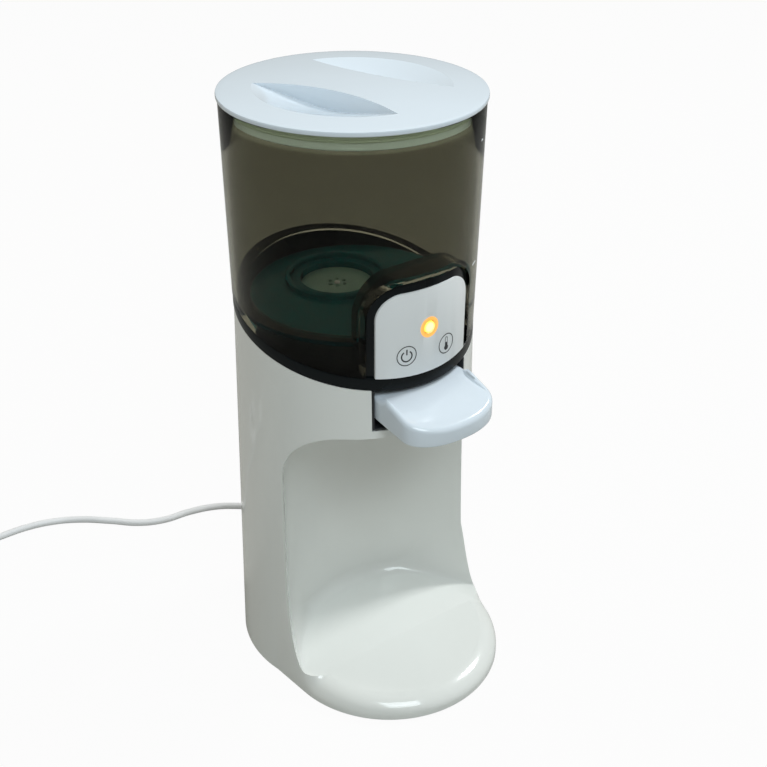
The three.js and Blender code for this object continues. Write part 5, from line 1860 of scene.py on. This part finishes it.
@dataclass
class Controls(Assembly):
    """Black pod with its white face, touch symbols, lamp and board."""

    pod: PodShape = PodShape()
    face: PodShape = PodShape(half=27.6, top=243.4, low=180.0, corner=13.0)
    step: float = 6.8
    wall: float = 1.8
    front: float = 61.2
    face_in: float = 61.5
    face_out: float = 62.5
    lamp: float = 3.2
    lamp_z: float = 222.4
    lamp_front: float = -62.8
    lamp_rear: float = -53.7
    halo: float = 5.4
    symbol_ring: float = 5.4
    symbol_line: float = 0.46
    power_angle: float = -11.7
    power_z: float = 209.9
    heat_angle: float = 10.8
    heat_z: float = 209.3
    heat_side: float = 0.78
    heat_top: float = 2.8
    lamp_line: tuple[Corner, ...] = ((0.7, 1), (0.45, 0.97), (0.2, 0.86), (0.05, 0.55), (0, 0.2))
    lamp_points: int = 48
    ink: float = 0.06

    def build(self) -> None:
        """Builds and seats the pod, its face, the symbols, the lamp and the board."""
        self.build_pod()
        self.build_face()
        self.build_lamp()
        self.build_symbols()
        self.smooth_node("touch_board", Finish.CIRCUIT_BOARD, 0.15)

    def build_pod(self) -> None:
        """Builds the hollow pod."""
        step = RIM_HEIGHT + self.step
        pod = self.pod.block("control_housing_fine", 0)
        Bench.combine(pod, Bench.disc("front", self.front, 170, 260, steps=160), Merge.SHARE)
        Bench.below_tilt(pod, step, keep_above=True)
        Bench.soften(pod, 0.9, 4, 35)
        room = self.pod.block("pod_room", -self.wall)
        Bench.combine(room, Bench.disc("room_front", self.front - self.wall, 170, 260), Merge.SHARE)
        Bench.below_tilt(room, step + self.wall, keep_above=True)
        Bench.combine(pod, room, Merge.CUT)
        low = at(-self.lamp, self.pod.rear - 3.6, self.lamp_z)
        mouth = Bench.block("mouth", low, at(self.lamp, self.pod.rear + 8, self.lamp_z + 6.4))
        Bench.combine(pod, mouth, Merge.CUT)
        Bench.combine(pod, self.lamp_hole(), Merge.CUT)
        Bench.tidy(pod, 40, FINE_WELD)
        self.seat(pod, Body.TOWER, Finish.BLACK_PLASTIC, "control_housing")

    def lamp_hole(self) -> Piece:
        """The hole that the lamp comes through."""
        front, rear = at(0, -90, self.lamp_z), at(0, self.pod.rear - self.wall, self.lamp_z)
        return Bench.drum("lamp_hole", self.lamp + SEAM, front, rear, 48)

    def build_face(self) -> None:
        """Builds the thin white face in front of the pod."""
        face = self.face.block("control_label_fine", 0)
        shell = [(self.face_in, 150), (self.face_out, 150), (self.face_out, 270), (self.face_in, 270)]
        Bench.combine(face, Bench.turned("face_round", shell, steps=240, closed=True), Merge.SHARE)
        Bench.below_tilt(face, RIM_HEIGHT + self.step, keep_above=True)
        Bench.combine(face, self.lamp_hole(), Merge.CUT)
        Bench.soften(face, 0.35, 3, 50)
        Bench.tidy(face, 40, FINE_WELD)
        self.seat(face, Body.TOWER, Finish.WHITE_LABEL, "control_label")

    def build_lamp(self) -> None:
        """Builds the domed lamp lens, and the lit ring of the face round it."""
        turns = [FULL_TURN * k / self.lamp_points for k in range(self.lamp_points)]
        line = [(self.lamp_rear, 1)] + [(self.lamp_front + back, share) for back, share in self.lamp_line]
        rings = []
        for y, share in line:
            reach = self.lamp * share
            rings.append([at(reach * math.cos(turn), y, self.lamp_z + reach * math.sin(turn))
                          for turn in turns])
        lens = Bench.raised("status_lamp_fine", rings)
        Bench.tidy(lens, 50, FINE_WELD)
        self.seat(lens, Body.TOWER, Finish.LAMP_LENS, "status_lamp")
        halo = self.flat_ring("lamp_halo", self.lamp + SEAM, self.halo, 0, self.lamp_z, 96)
        self.print_on_face([halo], "lamp_halo", Finish.LAMP_HALO)

    def build_symbols(self) -> None:
        """Prints the power and thermometer symbols in their rings."""
        power_x = math.radians(self.power_angle) * self.face_out
        power_z = self.power_z
        heat_x = math.radians(self.heat_angle) * self.face_out
        heat_z = self.heat_z
        heat_top = heat_z + self.heat_top
        inner, outer = self.symbol_ring - self.symbol_line, self.symbol_ring
        parts = [
            self.flat_ring("power_ring", inner, outer, power_x, power_z, 72),
            self.flat_ring("power_arc", 2.45, 3.15, power_x, power_z - 0.2, 56, 34),
            self.flat_bar("power_bar", power_x, power_z + 0.5, power_z + 3.5, 0.35),
            self.flat_ring("heat_ring", inner, outer, heat_x, heat_z, 72),
            self.flat_ring("heat_bulb", 0.02, 1.45, heat_x, heat_z - 2.2, 32),
            self.flat_bar("heat_column", heat_x, heat_z - 1.2, heat_z + 0.7, 0.72),
            self.flat_bar("heat_wall_left", heat_x - self.heat_side, heat_z - 1.0, heat_top, 0.13),
            self.flat_bar("heat_wall_right", heat_x + self.heat_side, heat_z - 1.0, heat_top, 0.13),
            self.flat_ring("heat_top", 0.65, 0.91, heat_x, heat_top, 28, -90),
        ]
        self.print_on_face(parts, "touch_symbols", Finish.DARK_INNER)

    def print_on_face(self, parts: Sequence[Piece], name: str, finish: Finish) -> None:
        """Thickens flat shapes a little and wraps them round the face.

        Args:
            parts: The flat shapes.
            name: The name of the print.
            finish: Its finish.
        """
        piece = Bench.join(parts)
        piece.name = name
        Bench.modify(piece, "SOLIDIFY", thickness=self.ink * MM, offset=0)
        Bench.wrap(piece, self.face_out + 0.05)
        Bench.open_all(piece)
        Bench.close_outwards()
        self.seat(piece, Body.TOWER, finish)

    @staticmethod
    def flat_ring(name: str, inner: float, outer: float, x: float, z: float, steps: int,
                  open_half: float = 0) -> Piece:
        """A flat ring in the x, z plane, or one that is open at its top.

        Args:
            name: The name of the new object.
            inner: Its inner radius, in millimetres.
            outer: Its outer radius.
            x: Where its middle lies.
            z: The height of its middle.
            steps: How many steps it has.
            open_half: Half the angle of its opening in degrees, or minus that of the arc that stays.

        Returns:
            The ring.
        """
        Bench.clear()
        bpy.ops.mesh.primitive_plane_add(size=MM)
        ring = bpy.context.object
        ring.name = name
        bpy.ops.object.mode_set(mode="EDIT")
        bpy.ops.mesh.merge(type="CENTER")
        gap = math.radians(open_half if open_half >= 0 else 180 + open_half)
        start = gap if open_half >= 0 else math.pi + gap
        sweep = FULL_TURN - 2 * gap
        across = Vector((math.sin(start), 0, math.cos(start)))
        middle = Vector((x * MM, 0, z * MM))
        Bench.move_selected(ring, middle + across * inner * MM)
        bpy.ops.mesh.extrude_region_move(TRANSFORM_OT_translate={"value": across * (outer - inner) * MM})
        bpy.ops.mesh.select_all(action="SELECT")
        bpy.ops.mesh.spin(steps=steps, angle=-sweep, center=middle, axis=(0, 1, 0), dupli=False)
        bpy.ops.mesh.select_all(action="SELECT")
        bpy.ops.mesh.remove_doubles(threshold=1e-7)
        bpy.ops.object.mode_set(mode="OBJECT")
        return ring

    @staticmethod
    def flat_bar(name: str, x: float, low: float, high: float, half: float) -> Piece:
        """A flat upright bar in the x, z plane, with a row of faces along it.

        Args:
            name: The name of the new object.
            x: Where its middle lies, in millimetres.
            low: The height of its foot.
            high: The height of its top.
            half: Half its width.

        Returns:
            The bar.
        """
        Bench.clear()
        middle = (x * MM, 0, (low + high) / 2 * MM)
        bpy.ops.mesh.primitive_grid_add(
            x_subdivisions=2, y_subdivisions=6, size=1, location=middle, rotation=(math.pi / 2, 0, 0))
        bar = bpy.context.object
        bar.name = name
        bar.scale = (2 * half * MM, (high - low) * MM, 1)
        Bench.settle(bar)
        return bar


@dataclass
class Lever(Assembly):
    """White push lever in its black slot, with the pin, the cradle, the spring and the push rod."""

    half: float = 27.3
    top: float = 190.8
    fall: float = 0.31
    mouth: float = 62.2
    reach: float = 91.0
    nose: float = 15.0
    nose_power: float = 2.2
    rear: float = -51.2
    root: float = 15.3
    nose_under: float = 172.6
    out: float = 28.8
    shoulder: float = 2.0
    shoulder_slope: float = 4.0
    rounding: float = 2.4
    arm: float = 5.0
    pivot_y: float = -22.0
    pivot_z: float = 181.5
    arm_front: float = -56.7
    arm_under: float = 3.5
    arm_high: float = 5.0
    hub: float = 5.5
    roller: float = 3.0
    pin_hole: float = 2.05
    spring_travel: float = 3.4
    side_steps: int = 8
    nose_steps: int = 48
    edge_steps: int = 6

    def build(self) -> None:
        """Builds and seats the lever and what holds it."""
        self.build_paddle()
        self.smooth_node("slot_liner", Finish.DARK_INNER, 0.2)
        self.smooth_node("lever_cradle", Finish.DARK_INNER, 0.3)
        self.smooth_node("hinge_pin", Finish.SPRING_STEEL, 0.2)
        self.sprung_node("lever_spring", Body.TOWER, "lever_press", self.spring_travel, fixed_high=False)
        self.smooth_node("push_rod", Finish.WHITE_INNER, 0.2, Body.ROD)

    def top_at(self, y: float) -> float:
        """Finds the height of the paddle's top, which drops behind the slot's mouth.

        Args:
            y: Where along the lever, in millimetres.

        Returns:
            The height there, in millimetres.
        """
        outside = self.top + self.fall * (y + self.mouth)
        inside = self.top - self.shoulder + self.shoulder_slope * max(0.0, -self.mouth - y)
        return min(outside, inside)

    def under_at(self, y: float) -> float:
        """Height of the paddle's underside."""
        return mix(self.top - self.root, self.nose_under, (-self.mouth - y) / self.out)

    def outline(self, inset: float) -> list[Corner]:
        """The paddle's outline from above.

        Args:
            inset: How far inside its skin.

        Returns:
            Its x and y, in millimetres.
        """
        half, nose = self.half - inset, self.nose - inset
        front, rear = -(self.reach - self.nose), self.rear + inset
        power = 2 / self.nose_power
        shares = [k / self.side_steps for k in range(self.side_steps + 1)]
        points = [(half, mix(rear, front, share)) for share in shares]
        for k in range(1, self.nose_steps):
            turn = k / self.nose_steps * math.pi
            across = math.cos(turn)
            x = half * math.copysign(abs(across) ** power, across)
            points.append((x, front - nose * math.sin(turn) ** power))
        return points + [(-half, mix(front, rear, share)) for share in shares]

    def ring(self, inset: float, height: HeightAt) -> list[Vector]:
        """One ring of the paddle at the height that its place gives."""
        return [at(x, y, height(y)) for x, y in self.outline(inset)]

    def build_paddle(self) -> None:
        """Builds the paddle with its rounded edges, the arm, the hub and the roller."""
        under, over = self.rounding * 0.6, self.rounding
        turns = [k / self.edge_steps * math.pi / 2 for k in range(self.edge_steps + 1)]
        rings = []
        for turn in turns:
            inset, lift = under * (1 - math.sin(turn)), under * (1 - math.cos(turn))
            rings.append(self.ring(inset, lambda y, lift=lift: self.under_at(y) + lift))
        for turn in turns:
            inset, drop = over * (1 - math.cos(turn)), over * (1 - math.sin(turn))
            rings.append(self.ring(inset, lambda y, drop=drop: self.top_at(y) - drop))
        paddle = Bench.raised("dispense_lever_fine", rings)
        slim, low = self.arm - 0.2, self.pivot_z - self.arm_under
        arm_end = at(slim, OUTLET_Y - 0.5, low + self.arm_high)
        arm = Bench.block("arm", at(-slim, self.arm_front, low), arm_end)
        Bench.soften(arm, 0.5, 2)
        Bench.combine(paddle, arm, Merge.ADD)
        for name, radius, y in (("hub", self.hub, self.pivot_y), ("roller", self.roller, OUTLET_Y)):
            bar = self.cross_bar(name, radius, self.arm, y, 48)
            Bench.soften(bar, 0.3, 2, 60)
            Bench.combine(paddle, bar, Merge.ADD)
        Bench.combine(paddle, self.cross_bar("pin_hole", self.pin_hole, 30, self.pivot_y, 32), Merge.CUT)
        Bench.tidy(paddle, 40, FINE_WELD)
        self.seat(paddle, Body.LEVER, Finish.WHITE_GLOSS, "dispense_lever")

    def cross_bar(self, name: str, radius: float, half: float, y: float, sides: int) -> Piece:
        """A round bar across the lever at the pivot's height."""
        return Bench.drum(name, radius, at(-half, y, self.pivot_z), at(half, y, self.pivot_z), sides)


@dataclass
class WaterWay(Assembly):
    """Heater, hoses and what clings to them inside the tower."""

    def build(self) -> None:
        """Seats softened pieces for the nodes of the water's way."""
        self.smooth_node("heater_body", Finish.HEATER_METAL, 0.6)
        small = {"heater_cap": Finish.DARK_INNER, "heater_clamp": Finish.HEATER_METAL,
                 "temperature_probe": Finish.BRASS_PROBE, "thermal_cutout": Finish.DARK_INNER}
        for node, finish in small.items():
            self.smooth_node(node, finish, 0.2)
        for node in ("feed_hose", "outlet_hose"):
            self.smooth_node(node, Finish.SILICONE_HOSE, angle=60)


@dataclass
class Electrics(Assembly):
    """Main board with its parts."""

    def build(self) -> None:
        """Seats softened pieces for the board and what stands on it."""
        fitted = {"main_board": Finish.CIRCUIT_BOARD, "transformer": Finish.TRANSFORMER_TAPE,
                  "heater_relay": Finish.BLACK_PLASTIC, "smoothing_capacitor": Finish.DARK_INNER,
                  "buzzer": Finish.DARK_INNER, "wire_socket": Finish.WHITE_INNER}
        for node, finish in fitted.items():
            self.smooth_node(node, finish, 0.3)


@dataclass
class Studio:
    """The photograph's camera, a pale floor and soft light."""

    position: Point = (-331.49, -449.48, 495.49)
    forward: Point = (0.5207, 0.68795, -0.50556)
    roll: float = math.radians(0.447)
    lens: float = 57.3
    sensor: float = 36.0
    floor_size: float = 12.0
    floor_colour: Colour = (0.42, 0.42, 0.40)
    floor_glow: float = 0.96
    world_colour: Colour = (1.0, 1.0, 0.93)
    world_strength: float = 0.27
    lamp_aim: Point = (0, 0, 0.14)

    def build(self) -> None:
        """Sets up everything that isn't the warmer."""
        self.place_camera()
        self.lay_floor()
        self.light()
        bpy.context.scene.view_settings.view_transform = "Standard"

    def place_camera(self) -> None:
        """Stands the camera where the photograph was taken."""
        data = bpy.data.cameras.new("photo_camera")
        data.lens = self.lens
        data.sensor_width = self.sensor
        data.clip_start = 0.01
        camera = Bench.bring("photo_camera", data)
        back = -Vector(self.forward).normalized()
        right = Vector((0, 0, 1)).cross(back).normalized()
        turn = Matrix((right, back.cross(right), back)).transposed().to_4x4()
        turn = turn @ Matrix.Rotation(self.roll, 4, "Z")
        camera.matrix_world = Matrix.Translation(Vector(self.position) * MM) @ turn
        bpy.context.scene.camera = camera

    def lay_floor(self) -> None:
        """Lays a wide pale floor that shows white to the camera and keeps a soft shadow."""
        Bench.clear()
        bpy.ops.mesh.primitive_plane_add(size=self.floor_size, location=(0, 0, -0.0001))
        floor = bpy.context.object
        floor.name = "floor"
        material, tree, shader = principled("floor_white", self.floor_colour, 0.9)
        glow = tree.nodes.new("ShaderNodeEmission")
        glow.inputs["Color"].default_value = (1, 1, 1, 1)
        path = tree.nodes.new("ShaderNodeLightPath")
        share = reckon(tree, "MULTIPLY", path.outputs["Is Camera Ray"], self.floor_glow)
        self.show(tree, share, shader.outputs["BSDF"], glow.outputs["Emission"], "Material Output")
        floor.data.materials.append(material)

    @staticmethod
    def show(tree: Tree, share: Socket, low: Socket, high: Socket, output: str) -> None:
        """Shows one shader or another.

        Args:
            tree: The node tree.
            share: How much of the second one shows, from 0 to 1.
            low: The first shader.
            high: The second shader.
            output: The name of the tree's output node.
        """
        both = tree.nodes.new("ShaderNodeMixShader")
        for target, source in zip(both.inputs, (share, low, high)):
            tree.links.new(source, target)
        tree.links.new(both.outputs["Shader"], tree.nodes[output].inputs["Surface"])

    def light(self) -> None:
        """Hangs the lamps and sets the world, which shows white to the camera."""
        world = bpy.data.worlds.new("studio")
        bpy.context.scene.world = world
        world.use_nodes = True
        tree = world.node_tree
        ground = tree.nodes["Background"]
        ground.inputs["Color"].default_value = (*self.world_colour, 1)
        ground.inputs["Strength"].default_value = self.world_strength
        white = tree.nodes.new("ShaderNodeBackground")
        white.inputs["Color"].default_value = (1, 1, 1, 1)
        path = tree.nodes.new("ShaderNodeLightPath")
        share = reckon(tree, "MAXIMUM", path.outputs["Is Camera Ray"], path.outputs["Is Transmission Ray"])
        self.show(tree, share, ground.outputs["Background"], white.outputs["Background"], "World Output")
        self.lamp("key", (1.25, -0.105, 1.5), 0.3, 18, (0.98, 0.99, 1.0))
        self.lamp("front", (-0.35, -1.1, 1.62), 0.9, 16, (0.86, 0.95, 1.0))
        self.lamp("back", (-0.6, 1.3, 1.2), 0.7, 7, (1.0, 0.96, 0.9))

    def lamp(self, name: str, place: Point, size: float, power: float, colour: Colour) -> None:
        """Hangs one soft lamp that looks at the middle of the warmer.

        Args:
            name: The lamp's name.
            place: Where it hangs, in metres.
            size: Its width in metres.
            power: Its power in watts.
            colour: Its colour.
        """
        data = bpy.data.lights.new(name, "AREA")
        data.size = size
        data.energy = power
        data.color = colour
        lamp = Bench.bring(name, data)
        lamp.location = place
        lamp.rotation_euler = (Vector(self.lamp_aim) - Vector(place)).to_track_quat("-Z", "Y").to_euler()


def dress_rest(nodes: dict[str, Piece], paint: Paint, record: dict) -> None:
    """Gives every node that still shows its own finish.

    Args:
        nodes: The frame's nodes.
        paint: The finishes.
        record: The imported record, which names each node's slot.
    """
    slots = {part["node"]: part["material_slot"] for part in record["subparts"]}
    finishes = {finish.value.name: finish for finish in Finish}
    for name, node in nodes.items():
        paint.coat(node, finishes[slots[name]])


def main() -> None:
    """Loads the frame, builds every sub-assembly and hands the scene over."""
    logging.basicConfig(level=logging.INFO, format="%(name)s: %(message)s")
    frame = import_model()
    nodes = frame["nodes"]
    paint = Paint()
    Studio().build()
    dress_rest(nodes, paint, frame["record"])
    kinds = (Cord, Tower, Seat, Tank, Lid, Controls, Lever, WaterWay, Electrics)
    for assembly in [kind(nodes, paint) for kind in kinds]:
        assembly.build()
        LOG.info("%s: %s", type(assembly).__name__, ", ".join(assembly.pieces))


if __name__ == "__main__":
    main()
